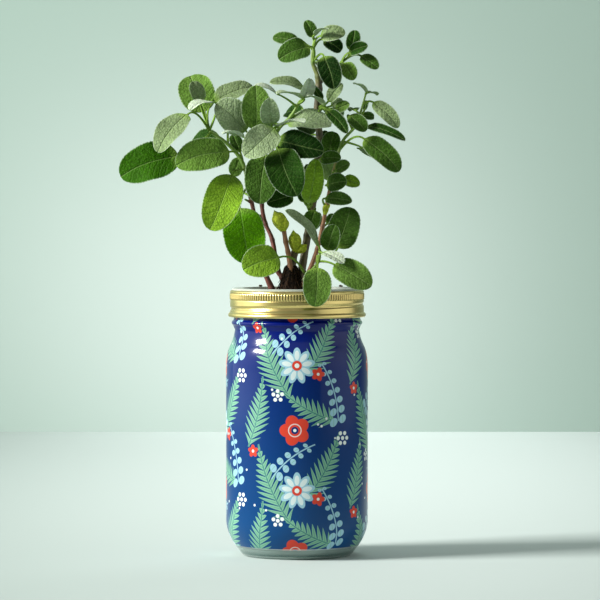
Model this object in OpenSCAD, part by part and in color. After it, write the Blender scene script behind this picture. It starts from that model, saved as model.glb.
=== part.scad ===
// Hydroponic jar planter: a wide-mouth jar in a printed film sleeve, a gold screw band, a net cup
// of coir that rests on the band, a felt wick that hangs into the water, and a sage plant.
// The origin is the centre of the jar's foot, +Z is up, and -Y is the front.

/* [Jar] */
// Outer diameter of the jar over its film sleeve
body_d = 95; // [88:1:115]
// Height of the glass jar
jar_h = 177.1; // [160:0.1:215]
// Height of the neck above the waist, with the bead and the screw finish
neck_h = 25.8; // [24:0.1:32]
// Thickness of the side wall
glass_wall = 2.8; // [2:0.1:4]
// Thickness of the bottom
glass_floor = 5.5; // [4:0.1:9]
// Diameter of the glass under its thread
finish_d = 84.4; // [82:0.1:90]
// Thickness of the glass around the mouth
finish_wall = 4.1; // [3.5:0.1:5.5]
// Thickness of the printed film
film_t = 0.2; // [0.1:0.05:0.4]

/* [Screw thread] */
// Rise of the thread in one turn
pitch = 6.35; // [5:0.05:8]
// Turns of thread on the glass
thread_turns = 1.1; // [0.8:0.05:1.3]
// How far the thread stands out of the glass
thread_depth = 1.75; // [1.2:0.05:2]

/* [Screw band] */
// Height of the band
band_h = 17.9; // [16:0.1:20]
// Thickness of the tinplate
tin_t = 0.4; // [0.3:0.05:0.6]
// Width of the lip that turns in over the rim
lip_w = 5.6; // [4.5:0.1:7]
// How far the rolled groove of the thread dips inward
groove_depth = 0.8; // [0.5:0.05:1]

/* [Net cup] */
// How far the flange stands out of the cup's wall
flange_w = 5.9; // [4:0.1:7.5]
// Thickness of the flange
flange_t = 1.3; // [1:0.1:2.5]
// How much narrower each side of the cup is at its floor
cup_taper = 6.4; // [3:0.1:10]
// Depth of the cup under its flange
cup_depth = 57; // [45:0.5:70]
// Thickness of the cup's plastic
cup_wall = 1.2; // [1:0.1:2]
// Slots around the cup in each of its two rows
slot_count = 12; // [8:1:18]
// Width of one slot
slot_w = 3.2; // [2:0.1:5]

/* [Wick] */
// Width of the felt strip
wick_w = 20; // [10:0.5:28]
// Thickness of the felt
wick_t = 1.6; // [1:0.1:3]
// Height of the wick's ends above the floor of the jar
wick_gap = 4; // [2:0.5:20]

/* [Plant] */
// Thickness of a leaf at its midrib
leaf_t = 0.8; // [0.6:0.1:1.5]
// Width of a leaf's stalk
stalk_w = 1.7; // [1.2:0.1:2.5]

/* [Hidden] */
$fn = 96;

// Clearances
fit_gap = 0.3;
band_gap = 0.3;
thread_gap = 0.45;
cup_gap = 0.7;
wick_slot_gap = 0.6;

// The jar's outline, from its foot to its rim
glass_r = body_d / 2 - film_t;
heel_w = 11.3;
foot_r = glass_r - heel_w;
foot_ring_w = 7;
push_up = 2.4;
push_up_slope = 6;
heel_h = 24;
heel_bend = 13;
heel_steps = 11;
film_step = 3;
waist_z = jar_h - neck_h;
finish_r = finish_d / 2;
waist_dip = 0.8;
waist_r = finish_r - waist_dip;
shoulder_drop = 25.3;
shoulder_z = waist_z - shoulder_drop;
shoulder_h = 15;
shoulder_bend = 9.5;
shoulder_in = 2.9;
shoulder_r = glass_r - shoulder_in;
neck_bend = 5.3;
neck_flare = 0.6;
bead_r = 1.6;
bead_sink = 0.2;
bead_up = 4.7;
bead_z = waist_z + bead_up;
bead_edge = 2.5;
finish_z = bead_z + bead_edge;
film_up = 10.7;
film_top = waist_z + film_up;
curve_steps = 6;

// The inside of the glass
inner_r = glass_r - glass_wall;
inner_shoulder_r = shoulder_r - glass_wall;
floor_round = 6;
floor_rise = 1;
mouth_r = finish_r - finish_wall;
mouth_drop = 1;
rim_round = 1.5;

// Where the thread runs
crest_r = finish_r + thread_depth;
thread_down = 12.6;
thread_z = jar_h - thread_down;
thread_root_w = 3.2;
thread_crest_w = 1.5;
thread_steps = 36;
thread_sink = 1.1;
thread_lead = 6;
thread_start = 0.2;

// The band, from its rolled edge up to its lip
lip_top = jar_h + band_gap + tin_t;
band_z = lip_top - band_h;
band_r = crest_r + thread_gap + tin_t;
lip_r = band_r - lip_w;
roll_out = 1.3;
roll_r = band_r + roll_out;
roll_h = 3;
wall_z = band_z + roll_h;
rib_out = 0.2;
rib_r = band_r + rib_out;
rib_down = 6.3;
rib_z = lip_top - rib_down;
rib_h = 4.5;
rib_foot = 0.3;
lip_bend = 1.5;
groove_w = 1.5;
groove_drop = 2.3;
groove_fade = 1.2;
groove_rows = 8;
band_sides = 60;

// The net cup, from its flange down to its floor
flange_top = lip_top + flange_t;
floor_z = lip_top - cup_depth;
cup_top_r = min(mouth_r, lip_r) - cup_gap;
cup_floor_r = cup_top_r - cup_taper;
flange_r = cup_top_r + flange_w;
flange_edge = 0.3;
slot_low = 6;
slot_bar = 4;
slot_rim = 11;
slot_h = (cup_depth - slot_low - slot_bar - slot_rim) / 2;
slot_reach = cup_taper + 3 * cup_wall;

// The wick lies on the floor of the cup and its two legs pass through slots
leg_y = 8;
drain_d = 5;
drain_step = 9;
drain_y = (leg_y + cup_floor_r) / 2;
wick_top = floor_z + cup_wall + wick_t;
wick_end = glass_floor + wick_gap;

// The coir plug
plug_z = wick_top + fit_gap;
plug_drop = 7;
plug_top = flange_top - plug_drop;
dome_h = 2.4;
dome_steps = 5;
crumb_r = (cup_top_r - cup_wall + flange_r) / 2;

// The crown stands on the plug
crown_x = -4;
crown_foot_r = 9.5;
crown_r = 7;
crown_tip_r = 4.2;
crown_step = 10;
crown_sink = 2;

// The plant's points are heights in a jar whose plug ends at plant_seat
plant_seat = 172.1;
plant_rise = [0, 0, plug_top - plant_seat];

function unit(v) = v / norm(v);

// A point a fraction t of the way along the curve that leaves a for b and ends at c.
function curve_at(a, b, c, t) = (1 - t) * (1 - t) * a + 2 * t * (1 - t) * b + t * t * c;

function curve(a, b, c, steps, first = 0) =
  [for (i = [first:steps]) curve_at(a, b, c, i / steps)];

// The outside of the glass above the film's lower edge, as [radius, height].
function heel_curve(r, first) =
  curve([foot_r, 0], [r, heel_bend], [r, heel_h], heel_steps, first);

function shoulder_curve() = concat(
  curve(
    [glass_r, shoulder_z], [glass_r, shoulder_z + shoulder_bend],
    [shoulder_r, shoulder_z + shoulder_h], curve_steps
  ),
  curve(
    [shoulder_r, shoulder_z + shoulder_h], [waist_r + neck_flare, waist_z - neck_bend],
    [waist_r, waist_z], curve_steps, 1
  )
);

function bead_curve() =
  [for (a = [-60:20:60]) [finish_r - bead_sink + bead_r * cos(a), bead_z + bead_r * sin(a)]];

function film_line() = concat(
  heel_curve(glass_r, film_step), shoulder_curve(), bead_curve(),
  [[finish_r, finish_z], [finish_r, film_top]]
);

// The inside of the glass, from the rim down to the middle of the floor.
function inside_line() = concat(
  [for (a = [90:15:180]) [mouth_r + rim_round + rim_round * cos(a), jar_h - rim_round + rim_round * sin(a)]],
  [for (p = [curve_steps:-1:0]) curve_at(
    [inner_shoulder_r, shoulder_z + shoulder_h], [mouth_r, waist_z - neck_bend], [mouth_r, waist_z + mouth_drop],
    p / curve_steps)],
  [for (p = [curve_steps - 1:-1:0]) curve_at(
    [inner_r, shoulder_z], [inner_r, shoulder_z + shoulder_bend], [inner_shoulder_r, shoulder_z + shoulder_h],
    p / curve_steps)],
  [for (p = [curve_steps:-1:0]) curve_at(
    [foot_r - floor_round, glass_floor], [inner_r, glass_floor + floor_rise], [inner_r, heel_h],
    p / curve_steps)],
  [[0, glass_floor]]
);

// A closed skin over rows of points that all have the same number of points.
module skin(rows) {
  n = len(rows[0]);
  last = len(rows) - 1;
  sides = [for (i = [0:last - 1]) for (k = [0:n - 1]) for (f = [0, 1])
    f == 0
      ? [i * n + k, (i + 1) * n + k, (i + 1) * n + (k + 1) % n]
      : [i * n + k, (i + 1) * n + (k + 1) % n, i * n + (k + 1) % n]];
  start = [for (k = [1:n - 2]) [0, k, k + 1]];
  end = [for (k = [1:n - 2]) [last * n, last * n + k + 1, last * n + k]];
  polyhedron(points = [for (row = rows) for (p = row) p], faces = concat(sides, start, end));
}

// A ring of skin whose last row joins its first, such as the wall of the band.
module ring_skin(rows) {
  n = len(rows[0]);
  m = len(rows);
  polyhedron(
    points = [for (row = rows) for (p = row) p],
    faces = [for (i = [0:m - 1]) for (k = [0:n - 1]) for (f = [0, 1])
      f == 0
        ? [i * n + k, ((i + 1) % m) * n + (k + 1) % n, ((i + 1) % m) * n + k]
        : [i * n + k, i * n + (k + 1) % n, ((i + 1) % m) * n + (k + 1) % n]]
  );
}

// The thread ridge: its ends sink into the glass.
function thread_row(i) =
  let (
    part = i / thread_steps,
    a = 360 * thread_turns * part,
    z = thread_z + pitch * thread_turns * part,
    rise = min(1, thread_lead * part, thread_lead * (1 - part)),
    in_r = finish_r - thread_sink,
    out_r = in_r + thread_start + (thread_depth + thread_sink - thread_start) * rise
  )
  [for (p = [
    [in_r, thread_root_w / 2], [out_r, thread_crest_w / 2],
    [out_r, -thread_crest_w / 2], [in_r, -thread_root_w / 2]
  ]) [p[0] * cos(a), p[0] * sin(a), z + p[1]]];

module glass_jar() {
  color([0.78, 0.9, 0.84, 0.5])
    union() {
      rotate_extrude()
        polygon(concat(
          [[0, push_up], [foot_r - foot_ring_w - push_up_slope, push_up], [foot_r - foot_ring_w, 0]],
          heel_curve(glass_r, 0), shoulder_curve(), bead_curve(),
          [[finish_r, finish_z]],
          [for (a = [0:15:90]) [finish_r - rim_round + rim_round * cos(a), jar_h - rim_round + rim_round * sin(a)]],
          inside_line()
        ));
      skin([for (i = [0:thread_steps]) thread_row(i)]);
    }
}

module printed_sleeve() {
  line = film_line();
  color([0.1, 0.18, 0.45])
    rotate_extrude()
      polygon(concat(
        [for (p = line) [p[0] + film_t, p[1]]],
        [for (i = [len(line) - 1:-1:0]) line[i]]
      ));
}

// How deep the rolled groove is at a height z and an angle a around the band. It follows the glass thread.
function groove_at(z, a) =
  let (
    low = thread_z - groove_drop + pitch * a / 360,
    d = min([for (turn = [-1:1]) abs(z - low - turn * pitch)]),
    ends = min(1, max(0, (z - wall_z - rib_foot) / groove_fade), max(0, (rib_z - rib_foot - z) / groove_fade))
  )
  groove_depth * pow(max(0, 1 - pow(d / groove_w, 2)), 1.5) * ends;

function wall_row(i) = wall_z + (rib_z - wall_z) * i / groove_rows;

// The rolled edge, as [how far inside its widest point, how far up], out of the wall and back into it.
roll_outside = [[0.9, 0], [0.1, 0.6], [0, 1.3], [0.3, 2.2]];
roll_inside = [[1.1, 1.6], [1.5, 0.6]];
lip_corner = [0.4, 0.7];

// The band's wall as [radius, height], up the outside, over the lip and down the inside.
band_line = concat(
  [for (p = roll_outside) [roll_r - p[0], band_z + p[1]]],
  [for (i = [0:groove_rows]) [band_r, wall_row(i)]],
  [[rib_r, rib_z + rib_foot], [rib_r, rib_z + rib_h], [rib_r - lip_corner[0], lip_top - lip_corner[1]]],
  [[rib_r - lip_bend, lip_top], [lip_r, lip_top], [lip_r, lip_top - tin_t], [band_r - tin_t, lip_top - tin_t]],
  [for (i = [groove_rows:-1:0]) [band_r - tin_t, wall_row(i)]],
  [for (p = roll_inside) [roll_r - p[0], band_z + p[1]]]
);

module screw_band() {
  color([0.77, 0.71, 0.49])
    ring_skin([for (i = [0:band_sides - 1])
      let (a = 360 * i / band_sides)
      [for (p = band_line)
        let (r = p[0] - groove_at(p[1], a))
        [r * cos(a), r * sin(a), p[1]]]]);
}

function cup_r(z) = cup_floor_r + (cup_top_r - cup_floor_r) * (z - floor_z) / cup_depth;

module net_cup() {
  color([0.95, 0.95, 0.93])
    difference() {
      rotate_extrude()
        polygon([
          [0, floor_z], [cup_floor_r, floor_z], [cup_top_r, lip_top], [flange_r, lip_top],
          [flange_r, flange_top - flange_edge], [flange_r - flange_edge, flange_top],
          [cup_top_r - cup_wall, flange_top], [cup_top_r - cup_wall, lip_top],
          [cup_r(floor_z + cup_wall) - cup_wall, floor_z + cup_wall], [0, floor_z + cup_wall]
        ]);
      for (i = [0:slot_count - 1], row = [0, 1])
        rotate([0, 0, 360 * (i + 0.5) / slot_count])
          translate([cup_floor_r - 2 * cup_wall, -slot_w / 2, floor_z + slot_low + row * (slot_h + slot_bar)])
            cube([slot_reach, slot_w, slot_h]);
      for (side = [-1, 1])
        translate([-wick_w / 2 - wick_slot_gap, side * leg_y - wick_t / 2 - wick_slot_gap, floor_z - cup_wall])
          cube([wick_w + 2 * wick_slot_gap, wick_t + 2 * wick_slot_gap, 3 * cup_wall]);
      for (side = [-1, 1], x = [-drain_step, 0, drain_step])
        translate([x, side * drain_y, floor_z - cup_wall])
          cylinder(d = drain_d, h = 3 * cup_wall);
    }
}

module wick() {
  color([0.93, 0.92, 0.88])
    union() {
      translate([-wick_w / 2, -leg_y - wick_t / 2, wick_top - wick_t])
        cube([wick_w, 2 * leg_y + wick_t, wick_t]);
      for (side = [-1, 1])
        translate([-wick_w / 2, side * leg_y - wick_t / 2, wick_end])
          cube([wick_w, wick_t, wick_top - wick_end]);
    }
}

// A crumb is two flat-bottomed grains run together on the flange, at an angle around the cup.
module crumb(place, turn, size) {
  rotate([0, 0, place])
    translate([crumb_r, 0, flange_top])
      rotate([0, 0, turn])
        hull() {
          cylinder(r1 = size, r2 = size * 0.6, h = size * 0.8, $fn = 16);
          translate([size * 1.4, 0, 0])
            cylinder(r1 = size * 0.7, r2 = size * 0.3, h = size * 0.6, $fn = 16);
        }
}

module coir_crumbs() {
  color([0.36, 0.2, 0.1])
    union() {
      crumb(128, -118, 0.9);
      crumb(41, -21, 1);
      crumb(100, -30, 0.6);
    }
}

module growing_medium() {
  bottom_r = cup_r(plug_z) - cup_wall - fit_gap;
  top_r = cup_r(plug_top) - cup_wall - fit_gap;
  color([0.2, 0.13, 0.09])
    rotate_extrude()
      polygon(concat(
        [[0, plug_z], [bottom_r, plug_z], [top_r, plug_top]],
        [for (i = [1:dome_steps]) [top_r * cos(90 * i / dome_steps), plug_top + dome_h * sin(90 * i / dome_steps)]]
      ));
}

// The crown: a mound of rooted coir that narrows to the foot of the stems.
module root_crown() {
  base_z = plug_top + dome_h - crown_sink;
  color([0.12, 0.08, 0.06])
    union() {
      translate([crown_x, 0, base_z])
        cylinder(r1 = crown_foot_r, r2 = crown_r, h = crown_step);
      translate([crown_x, 0, base_z + crown_step])
        cylinder(r1 = crown_r, r2 = crown_tip_r, h = crown_step);
      translate([crown_x, 0, base_z + 2 * crown_step])
        sphere(r = crown_tip_r);
    }
}

// A round shoot along a row of [x, y, z, radius], with sides a flats around it.
module shoot(points, sides = 8) {
  last = len(points) - 1;
  places = [for (p = points) [p[0], p[1], p[2]] + plant_rise];
  skin([for (i = [0:last])
    let (
      along = unit(places[min(i + 1, last)] - places[max(i - 1, 0)]),
      u = unit(cross([0, 1, 0], along)),
      v = cross(along, u)
    )
    [for (k = [0:sides - 1])
      places[i] + points[i][3] * (cos(360 * k / sides) * u + sin(360 * k / sides) * v)]]);
}

// The stems, each row [x, y, z, radius] from the coir upward.
left_outer_path = [
  [-14, -3, 170, 1.9], [-17, -4, 179, 1.9], [-21, -5, 188.5, 1.7], [-26, -7, 205, 1.4], [-28, -8, 225, 1.3],
  [-31, -8, 240, 1.3], [-36, -8, 262, 1.2], [-46, -7, 275, 1.1], [-58.5, -6, 284, 1]
];
left_twig_path = [[-29.5, -8, 235, 0.8], [-32, -9, 237, 0.7], [-35, -10, 238.5, 0.5]];
left_inner_path = [
  [-7, 0, 178, 1.8], [-10, 0, 186, 1.7], [-13, 1, 191.5, 1.6], [-16.5, 2, 211, 1.4], [-21, 3, 222, 1.3],
  [-23.5, 3, 235, 1.3], [-22, 1, 255, 1.2], [-17, -3, 270, 1.2], [-13, -4, 284, 1.1], [-4, -3, 294, 1],
  [2, -3, 304, 0.9]
];
stub_path = [[-4, -3, 190, 1.7], [-6, -3.5, 203, 1.5], [-7.5, -4, 210, 1.5], [-9, -4, 219, 1.5]];
crown_path = [[-4, 0, 190, 3], [-3, 0, 198, 2.6], [-0.5, -1, 206, 2.2]];
tall_path = [
  [1, 2, 178, 2.6], [3, 4, 190, 2.5], [7, 6, 214, 2.4], [12, 7, 245, 2.3], [14, 7, 267, 2.2], [15, 7, 282, 2.1],
  [13.5, 6, 295, 2.3], [14.5, 5, 312, 2.3], [14, 4, 321, 1.9], [10.5, 3, 330, 1.2], [11, 2, 340, 1],
  [11.5, 2, 346, 0.7]
];
top_side_path = [[14.5, 4, 316, 1.6], [21, 6, 322, 1.1], [30, 3, 330, 0.8]];
right_path = [
  [3, -3, 180, 1.5], [8, -4, 190, 1.5], [13.5, -5, 205, 1.4], [17, -5, 220, 1.3], [19.5, -4, 233, 1.2],
  [24, -2, 255, 1.1], [30, -1, 276, 1], [37, -1, 285, 0.9], [42, -1, 295, 0.8], [46, -2, 309, 0.6]
];
front_path = [[4, -4, 184, 1.2], [11, -9, 192, 1.1], [14.5, -14, 198, 1], [15.5, -16, 205, 0.8]];

module left_outer_stem() {
  color([0.45, 0.22, 0.16])
    union() {
      shoot(left_outer_path);
      shoot(left_twig_path, 6);
    }
}

module left_inner_stem() {
  color([0.45, 0.2, 0.16])
    shoot(left_inner_path);
}

module stub_stem() {
  color([0.6, 0.33, 0.18])
    shoot(stub_path);
}

module crown_stem() {
  color([0.4, 0.28, 0.14])
    shoot(crown_path);
}

module tall_stem() {
  color([0.45, 0.4, 0.16])
    union() {
      shoot(tall_path);
      shoot(top_side_path, 6);
    }
}

module right_stem() {
  color([0.66, 0.47, 0.26])
    shoot(right_path);
}

module front_stem() {
  color([0.6, 0.7, 0.35])
    shoot(front_path, 6);
}

bud_steps = 6;
bud_foot = 30;
bud_lead = 1.2;

// A bud: a pointed oval of the given length and width, with its foot at place.
module bud(place, tilt, size, width) {
  translate(place + plant_rise)
    rotate(tilt)
      rotate_extrude()
        polygon(concat(
          [[0, 0]],
          [for (i = [0:bud_steps]) [
            width / 2 * sin(bud_foot + (180 - bud_foot) * pow(i / bud_steps, bud_lead)), size * i / bud_steps
          ]]
        ));
}

module stub_bud() {
  color([0.62, 0.72, 0.25])
    union() {
      bud([-8.6, -4, 217.5], [0, -24, 0], 15, 9);
      bud([-8.6, -5, 217.5], [14, 10, 0], 9, 4.5);
    }
}

module crown_bract() {
  color([0.64, 0.7, 0.2])
    union() {
      bud([-0.5, -1, 203], [4, -6, 0], 15, 8);
      bud([0, -1.5, 203], [10, 55, 0], 8.5, 5);
    }
}

module right_buds() {
  color([0.42, 0.24, 0.16])
    union() {
      bud([18.6, -4.4, 228], [12, 8, 0], 8, 3.6);
      bud([18.8, -3.6, 231], [-14, 26, 0], 6, 3);
    }
}

blade_lead = 0.92;
blade_round = 2.3;
blade_blunt = 0.55;

// The half width of a blade, as a share of its full half width, a fraction t of the way along it.
function blade_share(t) =
  pow(max(0, 1 - pow(abs(2 * pow(t, blade_lead) - 1), blade_round)), blade_blunt);

blade_stations = [0.05, 0.2, 0.42, 0.66, 0.86, 0.97];
stalk_stations = [0, 0.4, 0.75];
blade_bow = 0.09;
blade_fold = 0.16;
blade_edge = 0.35;
blade_end_w = 0.7;
stalk_bend = 0.45;
stalk_taper = 0.25;
stalk_thin = 0.4;

// The six points across a leaf: width w, thickness t, edges raised by lift.
function across(place, side, up, w, t, lift) = [
  place - w / 2 * side + (lift + t * blade_edge) * up,
  place + t / 2 * up,
  place + w / 2 * side + (lift + t * blade_edge) * up,
  place + w / 2 * side + (lift - t * blade_edge) * up,
  place - t / 2 * up,
  place - w / 2 * side + (lift - t * blade_edge) * up
];

// A leaf [foot of the stalk, foot of the blade, tip, width, way its upper face looks].
module leaf(row) {
  stem = row[0] + plant_rise;
  base = row[1] + plant_rise;
  tip = row[2] + plant_rise;
  width = row[3];
  span = norm(tip - base);
  axis = unit(tip - base);
  up = unit(row[4] - (row[4] * axis) * axis);
  side = cross(axis, up);
  bend = base - axis * norm(base - stem) * stalk_bend;
  stalk = [for (t = stalk_stations)
    let (
      p = curve_at(stem, bend, base, t),
      way = unit((1 - t) * (bend - stem) + t * (base - bend)),
      n = unit(up - (up * way) * way)
    )
    across(p, cross(way, n), n, stalk_w * (1 - stalk_taper * t), stalk_w * (1 - stalk_thin * t), 0)];
  blade = [for (t = blade_stations)
    let (
      w = max(stalk_w * blade_end_w, width * blade_share(t)),
      p = base + axis * span * t + up * span * blade_bow * 4 * t * (1 - t)
    )
    across(p, side, up, w, leaf_t, blade_fold * w / 2)];
  skin(concat(stalk, blade));
}

module leaves(rows, shade) {
  color(shade)
    for (row = rows)
      leaf(row);
}

// Ways that an upper face can look
front = [0, -1, 0.35];
front_up = [0, -0.6, 0.8];
upward = [0, -0.15, 1];
away_up = [0, 0.5, 0.8];
right_front = [0.6, -0.8, 0.2];

// The leaves, each row [foot of the stalk, foot of the blade, tip, width, way its upper face looks].
far_left_rows = [
  [[-57.5, -7, 283], [-79, -6, 267.5], [-118, -10, 255], 26, front],
  [[-58.5, -6, 284], [-73, -15, 294.5], [-93, -27, 271], 19, front_up],
  [[-58.5, -6, 284], [-62, 3, 297], [-72, 12, 322], 24, front],
  [[-58.5, -6, 284], [-65, -5, 303], [-69.5, -8, 317], 12, right_front],
  [[-58.5, -6, 284], [-56.5, -13, 303], [-71, -24, 299], 13, upward],
  [[-58.5, -6, 284], [-54.5, -5, 303.5], [-29, 2, 314], 18, front_up]
];
left_rows = [
  [[-36, -8, 262], [-45, -19, 270], [-80, -28, 262.5], 22, front],
  [[-46, -7, 275], [-51, 5, 276], [-73, 20, 272], 22, front]
];
left_hanging_rows = [
  [[-35, -8, 258], [-43, -17, 254.5], [-57, -27, 218.5], 25, front],
  [[-32.5, -8, 247], [-38, -13, 232.5], [-32, -17, 196], 28, front]
];
left_back_rows = [
  [[-36, -8, 262], [-38, 0, 270], [-43, 8, 282], 9, front],
  [[-36, -8, 262], [-38, -4, 266], [-43, 0, 254], 10, front],
  [[-31, -8, 240], [-42, 10, 242], [-58, 30, 234], 20, away_up],
  [[-46, -7, 275], [-45, 10, 289], [-40, 34, 299], 20, away_up],
  [[-28, -8, 225], [-30, 4, 228], [-34, 28, 214], 18, away_up]
];
centre_left_rows = [
  [[-20, -1, 262], [-34, -12, 284], [-53, -19, 302.5], 22, front],
  [[-17, -3, 270], [-27, -16, 285], [-27, -25, 313.5], 20, front],
  [[-20, -1, 262], [-36, -21, 280], [-49, -31, 283], 11, upward],
  [[-14, -4, 281], [-15, -21, 285], [-34, -36, 267], 21, front]
];
centre_rows = [
  [[-20, -1, 262], [-21, -18, 268], [-25, -31, 236], 23, front],
  [[-17, -3, 270], [-13, -23, 271.5], [-1, -41, 241], 25, front],
  [[-14, -4, 281], [-17, -19, 288.5], [-18.5, -34, 305], 13, front]
];
centre_right_rows = [
  [[-15, -4, 278], [-13, -15, 277], [17, -24, 270.5], 20.5, front],
  [[-13, -4, 284], [-6, -4, 289], [23, -8, 288.5], 19, front_up],
  [[-13, -4, 284], [-13, -18, 287], [5, -31, 290], 13, upward],
  [[-4, -3, 294], [4, 6, 296], [-8, 20, 297], 12, front]
];
centre_top_rows = [
  [[1.5, -3, 303], [5, -3, 312], [-18, -9, 317], 14, front_up],
  [[2, -3, 304], [4, -7, 306], [9, -12, 318.5], 10, right_front],
  [[1, -3, 302], [3, -15, 306], [-13.5, -27, 309], 11, upward],
  [[0, -3, 300], [-13, -9, 308.5], [-28, -13, 314.5], 12, upward],
  [[-4, -3, 294], [2, 8, 289], [10, 30, 283], 16, away_up],
  [[-13, -4, 284], [-14, 8, 289], [-26, 32, 287], 20, away_up]
];
middle_rows = [
  [[10.5, 6.5, 236], [8, -9, 236], [13, -19, 265], 14.5, front],
  [[10.5, 6.5, 236], [6, -3, 240], [7, -6, 262], 8, front],
  [[9, 6.3, 228], [-3, 0, 241], [-20, -6, 236], 13, front],
  [[10.5, 6.5, 236], [5, 0, 236.5], [3, 2, 247], 8, front],
  [[8, 6, 220], [12, 2, 231], [8, 3, 218], 12, front],
  [[12, 7, 245], [6, 18, 252], [-14, 38, 246], 22, away_up],
  [[8, 6, 222], [8, 17, 228], [12, 35, 219], 14, away_up],
  [[15, -15, 203], [14, -18, 208], [-7, -29, 232], 11, front_up]
];
top_tuft_rows = [
  [[11, 2, 338], [1, 4, 344], [-16.5, 7, 347], 9, front],
  [[10.5, 3, 328], [8, -5, 340], [-12, -13, 332.5], 17, front],
  [[11.5, 2, 345], [11, 2, 347], [6, 1, 358], 8.5, front],
  [[11, 2, 339], [16, -3, 347.5], [32, -8, 349.5], 12, front],
  [[11.5, 2, 345], [12, -6, 348], [20.5, -17, 352.5], 7, upward],
  [[11, 2, 339], [18, 4, 345], [30, 6, 338], 11, front],
  [[10.5, 3, 330], [18, -7, 333.5], [25, -16, 312.5], 15.5, front],
  [[10.5, 3, 332], [15, 12, 331], [22, 27, 325], 12, away_up]
];
top_right_rows = [
  [[30, 3, 330], [36, 4, 338], [39, 7, 352], 9.5, front],
  [[30, 3, 330], [35, -2, 336.5], [47, -9, 341], 9, front],
  [[30, 3, 330], [43, -1, 334], [54, -7, 326], 9.5, front],
  [[29, 3.3, 329], [31, -4, 329], [38, -10, 318], 11, front],
  [[29, 3.3, 329], [31, 12, 326], [36, 26, 321], 9, away_up]
];
upper_rows = [
  [[14.5, 5, 300], [21, -4, 304], [30, -10, 315.5], 9, front],
  [[14.5, 5, 300], [17, -2, 305], [9, -7, 315], 5.5, front],
  [[14.5, 5, 299], [18, -7, 301], [7, -15, 308], 9, upward],
  [[14.5, 5, 300], [23, 4, 301], [31, 7, 305], 6, front],
  [[14, 6, 293], [26, -4, 298.5], [35, -9, 302], 8, front],
  [[13.5, 6, 291], [20, -13, 297.5], [33.5, -23, 283], 9, front],
  [[14, 6, 293], [20, 5, 294], [29, 5, 290], 7, front],
  [[14.5, 5, 297], [20, 16, 299], [28, 36, 293], 14, away_up]
];
right_rows = [
  [[37, -1, 285], [35, -6, 294], [46, -12, 284], 11, front],
  [[46, -2, 309], [46.5, -3, 310], [38, -9, 316.5], 8, upward],
  [[46, -2, 309], [46.5, -1, 309.5], [54, 5, 309], 8, upward],
  [[44, -1.5, 302], [51, -3, 303], [68, -9, 287], 10.5, front],
  [[42, -1, 295], [45, 3, 298], [47, 6, 305], 4, front],
  [[42, -1, 295], [44, 2, 294.5], [52, 5, 293.5], 6, front],
  [[37, -1, 285], [46, -5, 287], [72, -14, 278], 9, front_up],
  [[29, -1, 272], [45, -10, 278.5], [68.5, -17, 258], 16, front],
  [[31, -1, 277], [44, 12, 273], [58, 32, 266], 17, away_up],
  [[42, -1, 295], [39, 8, 298], [36, 24, 299], 8, away_up]
];
right_middle_rows = [
  [[14, 7, 267], [21, 5, 267], [25, 9, 284], 13, front],
  [[14, 7, 267], [18, 11, 270], [19, 15, 285], 7, front],
  [[14, 7, 262], [16, -9, 265], [29, -15, 266], 10.5, front],
  [[24, -2, 255], [26, -8, 258], [35, -13, 262.5], 9, front],
  [[22.5, -2.5, 248], [20, -9, 248], [33, -16, 250.5], 13, front],
  [[24, -2, 255], [31, -3, 252], [42, -5, 248.5], 9, front],
  [[19.5, -4, 233], [19, -12, 239], [36, -22, 237.5], 10, front],
  [[14, 7, 267], [18, 19, 265], [23, 38, 252], 18, away_up],
  [[15, 7, 280], [8, 20, 281], [-6, 40, 272], 22, away_up]
];
low_right_rows = [
  [[15, -15, 203], [27, -9, 206], [36, -13, 233], 22, front],
  [[15, -15, 202], [20.5, -16, 204.5], [25, -21, 221.5], 13, front],
  [[17, -5, 220], [20, 0, 222], [26, 3, 228], 7, front],
  [[15, -15, 203], [17, -22, 203], [31, -33, 196.5], 11, front_up],
  [[14, -13, 197], [25, -21, 195], [49, -32, 181], 19, front],
  [[15, -5, 211], [20, 7, 214], [32, 26, 218], 17, away_up]
];
low_left_rows = [[[6, -6, 187], [-12, -22, 200], [-35.5, -31, 192.5], 22, front]];
front_rows = [[[13, -11, 195.5], [13.5, -45, 193.5], [12, -52, 168.5], 19, front]];

module far_left_leaves() leaves(far_left_rows, [0.36, 0.52, 0.22]);
module left_leaves() leaves(left_rows, [0.28, 0.42, 0.18]);
module left_hanging_leaves() leaves(left_hanging_rows, [0.38, 0.56, 0.16]);
module left_back_leaves() leaves(left_back_rows, [0.24, 0.38, 0.16]);
module centre_left_leaves() leaves(centre_left_rows, [0.46, 0.54, 0.4]);
module centre_leaves() leaves(centre_rows, [0.3, 0.44, 0.2]);
module centre_right_leaves() leaves(centre_right_rows, [0.32, 0.42, 0.26]);
module centre_top_leaves() leaves(centre_top_rows, [0.6, 0.66, 0.54]);
module middle_leaves() leaves(middle_rows, [0.3, 0.46, 0.18]);
module top_tuft_leaves() leaves(top_tuft_rows, [0.3, 0.42, 0.22]);
module top_right_leaves() leaves(top_right_rows, [0.28, 0.4, 0.2]);
module upper_leaves() leaves(upper_rows, [0.36, 0.46, 0.26]);
module right_leaves() leaves(right_rows, [0.28, 0.42, 0.18]);
module right_middle_leaves() leaves(right_middle_rows, [0.22, 0.36, 0.16]);
module low_right_leaves() leaves(low_right_rows, [0.32, 0.46, 0.24]);
module low_left_leaf() leaves(low_left_rows, [0.34, 0.52, 0.2]);
module front_leaf() leaves(front_rows, [0.36, 0.48, 0.26]);

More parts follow.
